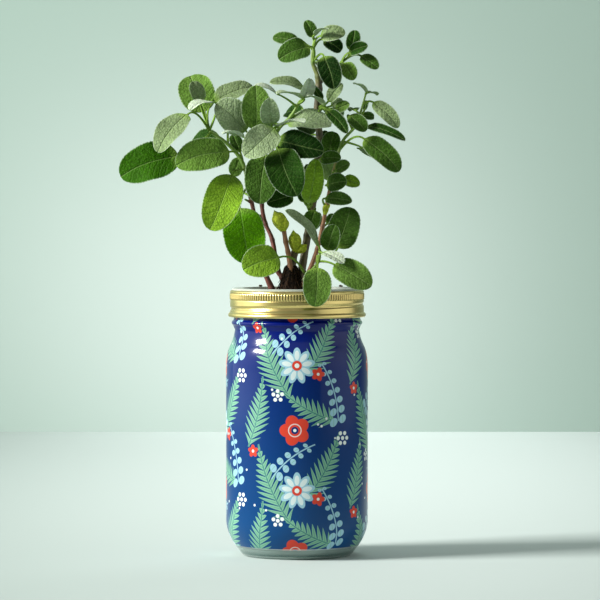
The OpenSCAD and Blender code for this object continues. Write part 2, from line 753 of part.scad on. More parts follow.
glass_jar();
printed_sleeve();
screw_band();
net_cup();
wick();
coir_crumbs();
growing_medium();
root_crown();
left_outer_stem();
left_inner_stem();
stub_stem();
crown_stem();
tall_stem();
right_stem();
front_stem();
stub_bud();
crown_bract();
right_buds();
far_left_leaves();
left_leaves();
left_hanging_leaves();
left_back_leaves();
centre_left_leaves();
centre_leaves();
centre_right_leaves();
centre_top_leaves();
middle_leaves();
top_tuft_leaves();
top_right_leaves();
upper_leaves();
right_leaves();
right_middle_leaves();
low_right_leaves();
low_left_leaf();
front_leaf();
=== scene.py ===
"""Fine surfaces and finishes for a hydroponic jar planter: a wide-mouth jar in a printed film
sleeve, a gold screw band, a net cup of coir, a felt wick and a sage plant.

Lengths in the tables and functions are millimetres from the centre of the jar's foot, with +Z up
and -Y to the front; every mesh is stored in metres."""

import math

import bpy
import numpy as np
from bpy.props import FloatProperty, FloatVectorProperty, IntProperty, PointerProperty
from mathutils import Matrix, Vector


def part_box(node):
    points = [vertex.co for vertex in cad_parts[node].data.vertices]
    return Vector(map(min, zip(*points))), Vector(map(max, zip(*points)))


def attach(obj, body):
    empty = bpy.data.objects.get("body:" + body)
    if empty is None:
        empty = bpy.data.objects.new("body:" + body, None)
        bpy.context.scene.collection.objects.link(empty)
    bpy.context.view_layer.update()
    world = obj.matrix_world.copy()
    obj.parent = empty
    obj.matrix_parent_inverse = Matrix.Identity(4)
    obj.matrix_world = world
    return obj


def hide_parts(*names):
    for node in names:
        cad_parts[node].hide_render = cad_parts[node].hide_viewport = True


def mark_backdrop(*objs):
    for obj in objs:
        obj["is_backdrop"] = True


bl_info = {
    "name": "Hydroponic Jar Planter",
    "version": (1, 0, 0),
    "blender": (4, 5, 0),
    "location": "3D View > Sidebar > Jar Planter",
    "description": "Gives the jar planter's frame its fine surfaces, finishes and studio",
    "category": "Object",
}

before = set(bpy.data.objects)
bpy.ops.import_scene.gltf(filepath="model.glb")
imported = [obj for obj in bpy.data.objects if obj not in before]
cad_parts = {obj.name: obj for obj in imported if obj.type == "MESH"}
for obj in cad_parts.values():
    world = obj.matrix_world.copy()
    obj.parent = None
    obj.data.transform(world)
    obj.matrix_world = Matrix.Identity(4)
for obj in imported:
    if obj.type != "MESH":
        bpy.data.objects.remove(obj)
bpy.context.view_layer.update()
MM = 0.001
TURN = 2 * math.pi


def tint(red, green, blue):
    """The linear colour of a screen colour whose three parts run from 0 to 255."""
    parts = np.array([red, green, blue]) / 255
    return tuple(np.where(parts < 0.04045, parts / 12.92, ((parts + 0.055) / 1.055) ** 2.4).tolist())


def top_of(node):
    """Highest point of a frame node, in millimetres."""
    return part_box(node)[1].z / MM


def radius_of(node):
    """Largest distance of a frame node from the jar's axis along X, in millimetres."""
    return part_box(node)[1].x / MM


def box_of(node):
    """The low and the high corner of a frame node's box, in millimetres."""
    return [np.array(corner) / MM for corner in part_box(node)]


# The jar and its sleeve, as the frame holds them
GLASS_R = radius_of("glass_jar")
JAR_H = top_of("glass_jar")
GLASS_WALL = 2.8
GLASS_FLOOR = 5.5
PUSH_UP = 2.4
FOOT_R = GLASS_R - 11.3
HEEL_H = 24
WAIST_Z = JAR_H - 25.8
FINISH_R = 42.2
WAIST_R = FINISH_R - 0.8
SHOULDER_Z = WAIST_Z - 25.3
SHOULDER_TOP = SHOULDER_Z + 15
SHOULDER_R = GLASS_R - 2.9
BEAD_Z = WAIST_Z + 4.7
BEAD_R = 1.6
MOUTH_R = 38.1
RIM_R = 1.5
FILM_R = radius_of("printed_sleeve")
FILM_LOW = 6.6
FILM_TOP = JAR_H - 15.1
FILM_GAP = 0.03

# The screw thread: its rise in a turn, its lowest point, its depth and its length in turns
PITCH = 6.35
THREAD_Z = JAR_H - 12.6
THREAD_DEPTH = 1.75
THREAD_TURNS = 1.1

# The band: its wall, its lip, its curled edge and the part of its height that is knurled
LIP_TOP = top_of("screw_band")
BAND_H = 17.9
BAND_Z = LIP_TOP - BAND_H
BAND_R = 44.8
TIN = 0.4
CURL = 1.3
LIP_R = 39.5
KNURL_LOW = 11.3
KNURL_TOP = 16
RIB_DEPTH = 0.5

# The cup, its wick and its coir
FLANGE_TOP = top_of("net_cup")
CUP_R = 37.4
CUP_FLOOR_R = 31
CUP_FLOOR_Z = LIP_TOP - 57
WICK_T = 1.6
COIR_DOME = 2.4

# The print on the sleeve: how many times its drawn lengths it lies on the film, its columns round
# the jar, the height of its repeat as drawn, and the height on the film where the ground is darkest
PRINT_SCALE = 1.42
PRINT_COLUMNS = 4
PRINT_REPEAT = 58.0
PRINT_H = 150

# Ways that the upper face of a leaf can look
WAYS = {
    "front": (0, -1, 0.35),
    "front_up": (0, -0.6, 0.8),
    "upward": (0, -0.15, 1),
    "away_up": (0, 0.5, 0.8),
    "right_front": (0.6, -0.8, 0.2),
}

# Leaf tones: the colour of the upper face and how much pale down covers it. They are partly the leaves' own
# greens and greys and partly painted light: leaves that lie in shade were given lighter tones, and leaves that
# the lamps light well darker ones.
TONES = {
    "vivid": (tint(98, 164, 2), 0.0),
    "bright": (tint(50, 98, 1), 0.0),
    "lime": (tint(130, 172, 34), 0.02),
    "leafy": (tint(90, 128, 32), 0.04),
    "mid": (tint(62, 100, 16), 0.02),
    "deep": (tint(34, 72, 3), 0.005),
    "dark": (tint(16, 48, 1), 0.0),
    "slate": (tint(108, 132, 72), 0.18),
    "grey": (tint(134, 158, 102), 0.26),
    "pale": (tint(150, 172, 124), 0.42),
    "white": (tint(190, 204, 178), 0.70),
}

# Each stem is one or more shoots of (x, y, z, radius), from the coir upward
STEMS = {
    "left_outer_stem": (
        ((-14, -3, 170, 1.9), (-17, -4, 179, 1.9), (-21, -5, 188.5, 1.7), (-26, -7, 205, 1.4),
         (-28, -8, 225, 1.3), (-31, -8, 240, 1.3), (-36, -8, 262, 1.2), (-46, -7, 275, 1.1),
         (-58.5, -6, 284, 1)),
        ((-29.5, -8, 235, 0.8), (-32, -9, 237, 0.7), (-35, -10, 238.5, 0.5)),
    ),
    "left_inner_stem": (
        ((-7, 0, 178, 1.8), (-10, 0, 186, 1.7), (-13, 1, 191.5, 1.6), (-16.5, 2, 211, 1.4),
         (-21, 3, 222, 1.3), (-23.5, 3, 235, 1.3), (-22, 1, 255, 1.2), (-17, -3, 270, 1.2),
         (-13, -4, 284, 1.1), (-4, -3, 294, 1), (2, -3, 304, 0.9)),
    ),
    "stub_stem": (
        ((-4, -3, 190, 1.7), (-6, -3.5, 203, 1.5), (-7.5, -4, 210, 1.5), (-9, -4, 219, 1.5)),
    ),
    "crown_stem": (
        ((-4, 0, 190, 3), (-3, 0, 198, 2.6), (-0.5, -1, 206, 2.2)),
    ),
    "tall_stem": (
        ((1, 2, 178, 2.6), (3, 4, 190, 2.5), (7, 6, 214, 2.4), (12, 7, 245, 2.3),
         (14, 7, 267, 2.2), (15, 7, 282, 2.1), (13.5, 6, 295, 2.3), (14.5, 5, 312, 2.3),
         (14, 4, 321, 1.9), (10.5, 3, 330, 1.2), (11, 2, 340, 1), (11.5, 2, 346, 0.7)),
        ((14.5, 4, 316, 1.6), (21, 6, 322, 1.1), (30, 3, 330, 0.8)),
    ),
    "right_stem": (
        ((3, -3, 180, 1.5), (8, -4, 190, 1.5), (13.5, -5, 205, 1.4), (17, -5, 220, 1.3),
         (19.5, -4, 233, 1.2), (24, -2, 255, 1.1), (30, -1, 276, 1), (37, -1, 285, 0.9),
         (42, -1, 295, 0.8), (46, -2, 309, 0.6)),
    ),
    "front_stem": (
        ((4, -4, 184, 1.2), (11, -9, 192, 1.1), (14.5, -14, 198, 1), (15.5, -16, 205, 0.8)),
    ),
}

# Each stem's slot, and the share of its length from which its bark turns young and green
STEM_FINISH = {
    "left_outer_stem": ("red_stem", 0.55),
    "left_inner_stem": ("red_stem", 0.66),
    "stub_stem": ("tan_stem", 1),
    "crown_stem": ("green_stem", 1),
    "tall_stem": ("green_stem", 0.80),
    "right_stem": ("tan_stem", 0.5),
    "front_stem": ("green_stem", 0.0),
}

# Each leaf is (foot of its stalk, foot of its blade, tip, width, way its upper face looks, tone)
# A leaf's tone is partly painted light: lighter for a leaf in shade, darker for a well-lit one
LEAVES = {
    "far_left_leaves": (
        ((-57.5, -7, 283), (-79, -6, 267.5), (-118, -10, 255), 26, "front", "bright"),
        ((-58.5, -6, 284), (-73, -15, 294.5), (-93, -27, 271), 19, "front_up", "slate"),
        ((-58.5, -6, 284), (-62, 3, 297), (-72, 12, 322), 24, "front", "leafy"),
        ((-58.5, -6, 284), (-65, -5, 303), (-69.5, -8, 317), 12, "right_front", "slate"),
        ((-58.5, -6, 284), (-56.5, -13, 303), (-71, -24, 299), 13, "upward", "white"),
        ((-58.5, -6, 284), (-54.5, -5, 303.5), (-29, 2, 314), 18, "front_up", "slate"),
    ),
    "left_leaves": (
        ((-36, -8, 262), (-45, -19, 270), (-80, -28, 262.5), 22, "front", "leafy"),
        ((-46, -7, 275), (-51, 5, 276), (-73, 20, 272), 22, "front", "deep"),
    ),
    "left_hanging_leaves": (
        ((-35, -8, 258), (-43, -17, 254.5), (-57, -27, 218.5), 25, "front", "lime"),
        ((-32.5, -8, 247), (-38, -13, 232.5), (-32, -17, 196), 28, "front", "vivid"),
    ),
    "left_back_leaves": (
        ((-36, -8, 262), (-38, 0, 270), (-43, 8, 282), 9, "front", "mid"),
        ((-36, -8, 262), (-38, -4, 266), (-43, 0, 254), 10, "front", "leafy"),
        ((-31, -8, 240), (-42, 10, 242), (-58, 30, 234), 20, "away_up", "deep"),
        ((-46, -7, 275), (-45, 10, 289), (-40, 34, 299), 20, "away_up", "deep"),
        ((-28, -8, 225), (-30, 4, 228), (-34, 28, 214), 18, "away_up", "deep"),
    ),
    "centre_left_leaves": (
        ((-20, -1, 262), (-34, -12, 284), (-53, -19, 302.5), 22, "front", "grey"),
        ((-17, -3, 270), (-27, -16, 285), (-27, -25, 313.5), 20, "front", "leafy"),
        ((-20, -1, 262), (-36, -21, 280), (-49, -31, 283), 11, "upward", "white"),
        ((-14, -4, 281), (-15, -21, 285), (-34, -36, 267), 21, "front", "grey"),
    ),
    "centre_leaves": (
        ((-20, -1, 262), (-21, -18, 268), (-25, -31, 236), 23, "front", "mid"),
        ((-17, -3, 270), (-13, -23, 271.5), (-1, -41, 241), 25, "front", "deep"),
        ((-14, -4, 281), (-17, -19, 288.5), (-18.5, -34, 305), 13, "front", "grey"),
    ),
    "centre_right_leaves": (
        ((-15, -4, 278), (-13, -15, 277), (17, -24, 270.5), 20.5, "front", "dark"),
        ((-13, -4, 284), (-6, -4, 289), (23, -8, 288.5), 19, "front_up", "grey"),
        ((-13, -4, 284), (-13, -18, 287), (5, -31, 290), 13, "upward", "white"),
        ((-4, -3, 294), (4, 6, 296), (-8, 20, 297), 12, "front", "deep"),
    ),
    "centre_top_leaves": (
        ((1.5, -3, 303), (5, -3, 312), (-18, -9, 317), 14, "front_up", "slate"),
        ((2, -3, 304), (4, -7, 306), (9, -12, 318.5), 10, "right_front", "white"),
        ((1, -3, 302), (3, -15, 306), (-13.5, -27, 309), 11, "upward", "pale"),
        ((0, -3, 300), (-13, -9, 308.5), (-28, -13, 314.5), 12, "upward", "white"),
        ((-4, -3, 294), (2, 8, 289), (10, 30, 283), 16, "away_up", "deep"),
        ((-13, -4, 284), (-14, 8, 289), (-26, 32, 287), 20, "away_up", "deep"),
    ),
    "middle_leaves": (
        ((10.5, 6.5, 236), (8, -9, 236), (13, -19, 265), 14.5, "front", "lime"),
        ((10.5, 6.5, 236), (6, -3, 240), (7, -6, 262), 8, "front", "deep"),
        ((9, 6.3, 228), (-3, 0, 241), (-20, -6, 236), 13, "front", "deep"),
        ((10.5, 6.5, 236), (5, 0, 236.5), (3, 2, 247), 8, "front", "deep"),
        ((8, 6, 220), (12, 2, 231), (8, 3, 218), 12, "front", "mid"),
        ((12, 7, 245), (6, 18, 252), (-14, 38, 246), 22, "away_up", "deep"),
        ((8, 6, 222), (8, 17, 228), (12, 35, 219), 14, "away_up", "deep"),
        ((15, -15, 203), (14, -18, 208), (-7, -29, 232), 11, "front_up", "grey"),
    ),
    "top_tuft_leaves": (
        ((11, 2, 338), (1, 4, 344), (-16.5, 7, 347), 9, "front", "mid"),
        ((10.5, 3, 328), (8, -5, 340), (-12, -13, 332.5), 17, "front", "mid"),
        ((11.5, 2, 345), (11, 2, 347), (6, 1, 358), 8.5, "front", "mid"),
        ((11, 2, 339), (16, -3, 347.5), (32, -8, 349.5), 12, "front", "slate"),
        ((11.5, 2, 345), (12, -6, 348), (20.5, -17, 352.5), 7, "upward", "pale"),
        ((11, 2, 339), (18, 4, 345), (30, 6, 338), 11, "front", "dark"),
        ((10.5, 3, 330), (18, -7, 333.5), (25, -16, 312.5), 15.5, "front", "dark"),
        ((10.5, 3, 332), (15, 12, 331), (22, 27, 325), 12, "away_up", "deep"),
    ),
    "top_right_leaves": (
        ((30, 3, 330), (36, 4, 338), (39, 7, 352), 9.5, "front", "deep"),
        ((30, 3, 330), (35, -2, 336.5), (47, -9, 341), 9, "front", "deep"),
        ((30, 3, 330), (43, -1, 334), (54, -7, 326), 9.5, "front", "mid"),
        ((29, 3.3, 329), (31, -4, 329), (38, -10, 318), 11, "front", "leafy"),
        ((29, 3.3, 329), (31, 12, 326), (36, 26, 321), 9, "away_up", "deep"),
    ),
    "upper_leaves": (
        ((14.5, 5, 300), (21, -4, 304), (30, -10, 315.5), 9, "front", "slate"),
        ((14.5, 5, 300), (17, -2, 305), (9, -7, 315), 5.5, "front", "deep"),
        ((14.5, 5, 299), (18, -7, 301), (7, -15, 308), 9, "upward", "pale"),
        ((14.5, 5, 300), (23, 4, 301), (31, 7, 305), 6, "front", "slate"),
        ((14, 6, 293), (26, -4, 298.5), (35, -9, 302), 8, "front", "leafy"),
        ((13.5, 6, 291), (20, -13, 297.5), (33.5, -23, 283), 9, "front", "deep"),
        ((14, 6, 293), (20, 5, 294), (29, 5, 290), 7, "front", "deep"),
        ((14.5, 5, 297), (20, 16, 299), (28, 36, 293), 14, "away_up", "deep"),
    ),
    "right_leaves": (
        ((37, -1, 285), (35, -6, 294), (46, -12, 284), 11, "front", "mid"),
        ((46, -2, 309), (46.5, -3, 310), (38, -9, 316.5), 8, "upward", "pale"),
        ((46, -2, 309), (46.5, -1, 309.5), (54, 5, 309), 8, "upward", "slate"),
        ((44, -1.5, 302), (51, -3, 303), (68, -9, 287), 10.5, "front", "slate"),
        ((42, -1, 295), (45, 3, 298), (47, 6, 305), 4, "front", "deep"),
        ((42, -1, 295), (44, 2, 294.5), (52, 5, 293.5), 6, "front", "mid"),
        ((37, -1, 285), (46, -5, 287), (72, -14, 278), 9, "front_up", "deep"),
        ((29, -1, 272), (45, -10, 278.5), (68.5, -17, 258), 16, "front", "mid"),
        ((31, -1, 277), (44, 12, 273), (58, 32, 266), 17, "away_up", "deep"),
        ((42, -1, 295), (39, 8, 298), (36, 24, 299), 8, "away_up", "deep"),
    ),
    "right_middle_leaves": (
        ((14, 7, 267), (21, 5, 267), (25, 9, 284), 13, "front", "mid"),
        ((14, 7, 267), (18, 11, 270), (19, 15, 285), 7, "front", "deep"),
        ((14, 7, 262), (16, -9, 265), (29, -15, 266), 10.5, "front", "mid"),
        ((24, -2, 255), (26, -8, 258), (35, -13, 262.5), 9, "front", "leafy"),
        ((22.5, -2.5, 248), (20, -9, 248), (33, -16, 250.5), 13, "front", "mid"),
        ((24, -2, 255), (31, -3, 252), (42, -5, 248.5), 9, "front", "lime"),
        ((19.5, -4, 233), (19, -12, 239), (36, -22, 237.5), 10, "front", "mid"),
        ((14, 7, 267), (18, 19, 265), (23, 38, 252), 18, "away_up", "leafy"),
        ((15, 7, 280), (8, 20, 281), (-6, 40, 272), 22, "away_up", "deep"),
    ),
    "low_right_leaves": (
        ((15, -15, 203), (27, -9, 206), (36, -13, 233), 22, "front", "mid"),
        ((15, -15, 202), (20.5, -16, 204.5), (25, -21, 221.5), 13, "front", "mid"),
        ((17, -5, 220), (20, 0, 222), (26, 3, 228), 7, "front", "mid"),
        ((15, -15, 203), (17, -22, 203), (31, -33, 196.5), 11, "front_up", "white"),
        ((14, -13, 197), (25, -21, 195), (49, -32, 181), 19, "front", "leafy"),
        ((15, -5, 211), (20, 7, 214), (32, 26, 218), 17, "away_up", "deep"),
    ),
    "low_left_leaf": (
        ((6, -6, 187), (-12, -22, 200), (-35.5, -31, 192.5), 22, "front", "lime"),
    ),
    "front_leaf": (
        ((13, -11, 195.5), (13.5, -45, 193.5), (12, -52, 168.5), 19, "front", "leafy"),
    ),
}

# The slots of the leaves that aren't plain green
LEAF_SLOTS = {
    "far_left_leaves": "bright_leaf",
    "left_hanging_leaves": "bright_leaf",
    "low_left_leaf": "bright_leaf",
    "centre_top_leaves": "pale_leaf",
    "centre_left_leaves": "pale_leaf",
}

# Each bud is a row of (place, tilt about X and Y in degrees, length, width)
BUDS = {
    "stub_bud": (((-8.6, -4, 217.5), (0, -24), 15, 9), ((-8.6, -5, 217.5), (14, 10), 9, 4.5)),
    "crown_bract": (((-0.5, -1, 203), (4, -6), 15, 8), ((0, -1.5, 203), (10, 55), 8.5, 5)),
    "right_buds": (((18.6, -4.4, 228), (12, 8), 8, 3.6), ((18.8, -3.6, 231), (-14, 26), 6, 3)),
}

# How far up its bud each of the clasping young leaves reaches
CLASP_REACH = (0.95, 0.75, 1.02, 0.85)

# Each crumb on the flange is (angle in degrees, size, seed)
CRUMBS = ((128, 0.9, 31), (41, 1.0, 32), (100, 0.6, 33))

# Each lamp is (name, place, target, (width, height), the power that it follows, how many times that
# power, colour, spread). Its lengths are in metres, and its spread is a whole angle in degrees
LAMPS = (
    ("key_lamp", (-2.2, -0.72, 1.42), (0, 0, 0.14), (0.9, 0.45), "key_power", 1, (1, 0.99, 0.95), 180),
    ("left_panel", (-1.25, 0.1, 0.45), (0, 0.05, 0.25), (1.7, 0.9), "fill_power", 1.8, (0.96, 1, 0.97), 120),
    ("right_panel", (1.1, -0.35, 0.45), (0, -0.1, 0.25), (1.8, 0.9), "fill_power", 1.25, (0.96, 1, 0.97), 120),
    ("top_fill", (0.1, -1.5, 1.7), (0, 0, 0.2), (1.2, 0.8), "fill_power", 1, (0.98, 1, 0.97), 180),
    ("backdrop_lamp", (0.15, 0.70, 1.55), (0.05, 1.2, 0.1), (0.9, 0.3), "fill_power", 2.4, (1, 1, 1), 180),
)


# Arrays and meshes

def unit(vectors):
    """The vectors with every length made one."""
    return vectors / np.maximum(np.linalg.norm(vectors, axis=-1, keepdims=True), 1e-9)


def square_to(vectors, along):
    """The vectors less their part along a unit direction, made unit length."""
    return unit(vectors - (vectors * along).sum(-1, keepdims=True) * along)


def bumps(points, size, seed):
    """Random heights from 0 to 1: a random number on each corner of a lattice of cubes of that
    size, blended smoothly between the eight corners round each point."""
    table = np.random.default_rng(seed).random(4096)
    low = np.floor(points / size).astype(np.int64)
    t = points / size - low
    t = t * t * (3 - 2 * t)
    height = np.zeros(points.shape[:-1])
    for corner in np.ndindex(2, 2, 2):
        corner = np.array(corner)
        index = ((low + corner) * (1619, 31337, 6971)).sum(-1) & 4095
        height += np.where(corner, t, 1 - t).prod(-1) * table[index]
    return height


def quadratic(t, start, pull, end):
    """Points at shares t of a quadratic curve that leaves start towards pull and reaches end."""
    return (1 - t) ** 2 * start + 2 * t * (1 - t) * pull + t * t * end


def bend_line(start, pull, end, steps):
    """Even steps along a quadratic curve, its ends included."""
    t = np.linspace(0, 1, steps + 1)[:, None]
    return quadratic(t, *(np.asarray(p, float) for p in (start, pull, end)))


def gaps(line):
    """The distance from each point of a line to the next."""
    return np.linalg.norm(np.diff(line, axis=0), axis=1)


def way_along(line):
    """The distance along a line to each of its points."""
    return np.concatenate([[0], np.cumsum(gaps(line))])


def spaced(line, gap):
    """The points of a broken line with more put in, so that no two are further apart than gap."""
    line = np.asarray(line, float)
    steps = np.maximum(1, np.ceil(gaps(line) / gap).astype(int))
    at = np.concatenate([i + np.arange(n) / n for i, n in enumerate(steps)] + [[len(line) - 1.0]])
    i = np.minimum(at.astype(int), len(line) - 2)
    return line[i] + (at - i)[:, None] * (line[i + 1] - line[i])


def smooth_line(points, gap):
    """A smooth line through points, and the distance along it: between two points every
    coordinate follows the cubic that runs at each of them parallel to its two neighbours."""
    ends = np.vstack([2 * points[0] - points[1], points, 2 * points[-1] - points[-2]])
    length, reach = gaps(points[:, :3]), way_along(points[:, :3])
    at = np.linspace(0, reach[-1], max(4, int(reach[-1] / gap) + 2))
    i = np.clip(np.searchsorted(reach, at, side="right") - 1, 0, len(length) - 1)
    t = ((at - reach[i]) / length[i])[:, None]
    a, b, c, d = (ends[i + k] for k in range(4))
    return b + t / 2 * (c - a + t * (2 * a - 5 * b + 4 * c - d + t * (3 * (b - c) + d - a))), at


def right_of(line):
    """The unit direction to the right of a profile's own, at each of its points."""
    way = unit(np.gradient(line, axis=0))
    return np.stack([way[:, 1], -way[:, 0]], 1)


def offset_line(line, distance):
    """A profile moved sideways, to the right of its own direction, by a distance."""
    return line + distance * right_of(line)


def grid_faces(rows, columns, copies=1, join_rows=False):
    """Quads over copies of a grid whose columns close on themselves. They face outwards where
    rows run along a tube and columns run anticlockwise round it, seen from its far end."""
    i, k = np.meshgrid(np.arange(rows if join_rows else rows - 1), np.arange(columns), indexing="ij")
    j, m = (i + 1) % rows, (k + 1) % columns
    quads = np.stack([i * columns + k, i * columns + m, j * columns + m, j * columns + k], -1)
    return (quads.reshape(1, -1, 4) + rows * columns * np.arange(copies)[:, None, None]).reshape(-1, 4)


def surface(rings, join_rows=False, **values):
    """Closed tubes from rings[copy, row, column] of points: each first and last ring is capped,
    unless the rows close on themselves. Each of values is a number or a colour, either one for
    all points or an array that spreads over copies, rows and columns."""
    copies, rows, columns = rings.shape[:3]
    faces = [grid_faces(rows, columns, copies, join_rows)]
    if not join_rows:
        first = rows * columns * np.arange(copies)[:, None] + np.arange(columns)
        faces += [first[:, ::-1], first + (rows - 1) * columns]
    flat = {}
    for name, value in values.items():
        value = np.asarray(value, float)
        parts = value.shape[-1:] if value.ndim in (1, 4) else ()
        flat[name] = np.broadcast_to(value, rings.shape[:3] + parts).reshape(-1, *parts)
    return {"points": rings.reshape(-1, 3), "faces": faces, "values": flat}


def round_axis(radius, angle, height, centre=(0, 0)):
    """Points at a radius, an angle and a height about an upright axis."""
    radius, angle, height = np.broadcast_arrays(radius, angle, height)
    return np.stack([centre[0] + radius * np.cos(angle), centre[1] + radius * np.sin(angle), height], -1)


def turned(profile, columns, spread=0.0, ripple=0.0, centre=(0, 0)):
    """Rings of a profile of (radius, height) points carried round an upright axis: the radius
    grows by spread, given for each row and column, and the height by ripple."""
    angle = TURN * np.arange(columns) / columns
    return round_axis(profile[:, :1] + spread, angle, profile[:, 1:] + ripple, centre)[None]


def tube_rings(line, radius, columns, reference=(0, 1, 0)):
    """Rings round lines[copy, row] of centres: each ring lies square to its line, and its radius
    is given for each copy and row, or for each column as well."""
    along = unit(np.gradient(line, axis=1))
    u = square_to(np.broadcast_to(np.asarray(reference, float), along.shape), along)
    v = np.cross(along, u)
    angle = TURN * np.arange(columns) / columns
    radius = radius[..., None] if radius.ndim == 2 else radius
    x, y = (radius * np.cos(angle))[..., None], (radius * np.sin(angle))[..., None]
    return line[:, :, None] + (x * u[:, :, None] + y * v[:, :, None])


def build(name, parts, material, body, nodes):
    """One smooth mesh object in metres from parts made by surface(). It rides on a body, stands for the nodes
    and takes the given material."""
    points = np.concatenate([part["points"] for part in parts]) * MM
    loops, sizes, first = [], [], 0
    for part in parts:
        loops += [(faces + first).ravel() for faces in part["faces"]]
        sizes += [np.full(len(faces), faces.shape[1]) for faces in part["faces"]]
        first += len(part["points"])
    loops, sizes = np.concatenate(loops).astype(np.int32), np.concatenate(sizes)
    mesh = bpy.data.meshes.new(name)
    mesh.vertices.add(len(points))
    mesh.vertices.foreach_set("co", points.ravel().astype(np.float32))
    mesh.loops.add(len(loops))
    mesh.loops.foreach_set("vertex_index", loops)
    mesh.polygons.add(len(sizes))
    starts = np.concatenate([[0], np.cumsum(sizes)[:-1]]).astype(np.int32)
    mesh.polygons.foreach_set("loop_start", starts)
    mesh.polygons.foreach_set("use_smooth", np.ones(len(sizes), bool))
    for value_name in parts[0]["values"]:
        values = np.concatenate([part["values"][value_name] for part in parts]).astype(np.float32)
        kind, field = {1: ("FLOAT", "value"), 2: ("FLOAT_VECTOR", "vector")}[values.ndim]
        mesh.attributes.new(value_name, kind, "POINT").data.foreach_set(field, values.ravel())
    mesh.update(calc_edges=True)
    if mesh.validate():
        raise RuntimeError(f"{name}: the mesh had faces that Blender took out")
    mesh.materials.append(material)
    piece = bpy.data.objects.new(name, mesh)
    bpy.context.collection.objects.link(piece)
    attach(piece, body)
    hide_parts(*nodes)
    return piece


# Materials

class Field:
    """A number that a material's nodes work out. The usual signs join fields by math nodes."""

    def __init__(self, tree, socket):
        self.tree, self.socket = tree, socket

    def calc(self, operation, *others):
        """One math node on this field and up to two more fields or numbers."""
        node = self.tree.nodes.new("ShaderNodeMath")
        node.operation = operation
        for socket, value in zip(node.inputs, (self, *others)):
            if isinstance(value, Field):
                self.tree.links.new(value.socket, socket)
            else:
                socket.default_value = value
        return Field(self.tree, node.outputs[0])

    def __add__(self, other):
        return self.calc("ADD", other)

    def __sub__(self, other):
        return self.calc("SUBTRACT", other)

    def __mul__(self, other):
        return self.calc("MULTIPLY", other)

    def __truediv__(self, other):
        return self.calc("DIVIDE", other)

    def __abs__(self):
        return self.calc("ABSOLUTE")

    def less_from(self, number):
        """A number less this field."""
        return self.calc("MULTIPLY_ADD", -1.0, number)

    def wrap(self, half):
        """This field brought between -half and half by whole steps of twice half."""
        return self.calc("WRAP", half, -half)

    def clamped(self):
        """This field held between 0 and 1."""
        return self.calc("MINIMUM", 1.0).calc("MAXIMUM", 0.0)


def length_of(x, y):
    """The length of a flat vector of two fields."""
    return (x * x + y * y).calc("SQRT")


def new_material(name, **settings):
    """A material with one Principled shader whose named sockets are set, and its node tree."""
    material = bpy.data.materials.new(name)
    material.use_nodes = True
    shader = next(n for n in material.node_tree.nodes if n.type == "BSDF_PRINCIPLED")
    for socket, value in settings.items():
        shader.inputs[socket.replace("_", " ")].default_value = value
    return material, material.node_tree, shader


def place_of(tree):
    """The Object coordinates of a piece, in metres."""
    return tree.nodes.new("ShaderNodeTexCoord").outputs["Object"]


def stretched(tree, place, scale):
    """Coordinates scaled differently along X, Y and Z by a Mapping node."""
    node = tree.nodes.new("ShaderNodeMapping")
    node.inputs["Scale"].default_value = scale
    tree.links.new(place, node.inputs["Vector"])
    return node.outputs["Vector"]


def noise(tree, place, scale, detail=2.0, roughness=0.5):
    """A noise field from 0 to 1 with scale features in each unit of its coordinates."""
    node = tree.nodes.new("ShaderNodeTexNoise")
    node.inputs["Scale"].default_value = scale
    node.inputs["Detail"].default_value = detail
    node.inputs["Roughness"].default_value = roughness
    tree.links.new(place, node.inputs["Vector"])
    return Field(tree, node.outputs[0])


def cells(tree, place, scale):
    """The distance from the nearest middle of a pattern of cells."""
    node = tree.nodes.new("ShaderNodeTexVoronoi")
    node.inputs["Scale"].default_value = scale
    tree.links.new(place, node.inputs["Vector"])
    return Field(tree, node.outputs["Distance"])


def attribute(tree, name, output="Fac"):
    """A stored attribute of a piece, as a field, or as a socket where an output is named."""
    node = tree.nodes.new("ShaderNodeAttribute")
    node.attribute_name = name
    return Field(tree, node.outputs["Fac"]) if output == "Fac" else node.outputs[output]


def split(tree, socket):
    """The three parts of a vector socket, as fields."""
    node = tree.nodes.new("ShaderNodeSeparateXYZ")
    tree.links.new(socket, node.inputs[0])
    return [Field(tree, out) for out in node.outputs]


def shade(colour, share):
    """A colour with each of its parts multiplied by a share."""
    return tuple(share * part for part in colour)


def blend_colour(tree, share, first, second, kind="MIX"):
    """first turned into second by a share: both are colours or sockets, the share a field or a
    number."""
    node = tree.nodes.new("ShaderNodeMix")
    node.data_type = "RGBA"
    node.blend_type = kind
    inputs = [s for s in node.inputs if s.enabled]
    for socket, value in zip(inputs, (share, first, second)):
        if isinstance(value, Field):
            tree.links.new(value.socket, socket)
        elif isinstance(value, bpy.types.NodeSocket):
            tree.links.new(value, socket)
        elif isinstance(value, (int, float)):
            socket.default_value = value
        else:
            socket.default_value = (*value, 1.0)
    return next(s for s in node.outputs if s.enabled)


def blend_shaders(tree, share, first, second):
    """The first shader or background turned into the second by a share."""
    node = tree.nodes.new("ShaderNodeMixShader")
    for socket, value in zip(node.inputs, (share, first, second)):
        tree.links.new(value, socket)
    return node.outputs[0]


def paint(tree, shader, colour):
    """Gives a shader the colour that comes from a socket."""
    tree.links.new(colour, shader.inputs["Base Color"])


def raise_surface(tree, shader, height, depth, strength=1.0):
    """A bump of a height field, where 1 stands for that depth in millimetres."""
    node = tree.nodes.new("ShaderNodeBump")
    node.inputs["Strength"].default_value = strength
    node.inputs["Distance"].default_value = depth * MM
    tree.links.new(height.socket, node.inputs["Height"])
    tree.links.new(node.outputs["Normal"], shader.inputs["Normal"])


def wear_roughness(tree, shader, field, low, high):
    """Roughness from low to high as a field goes from 0 to 1."""
    tree.links.new((field * (high - low) + low).clamped().socket, shader.inputs["Roughness"])


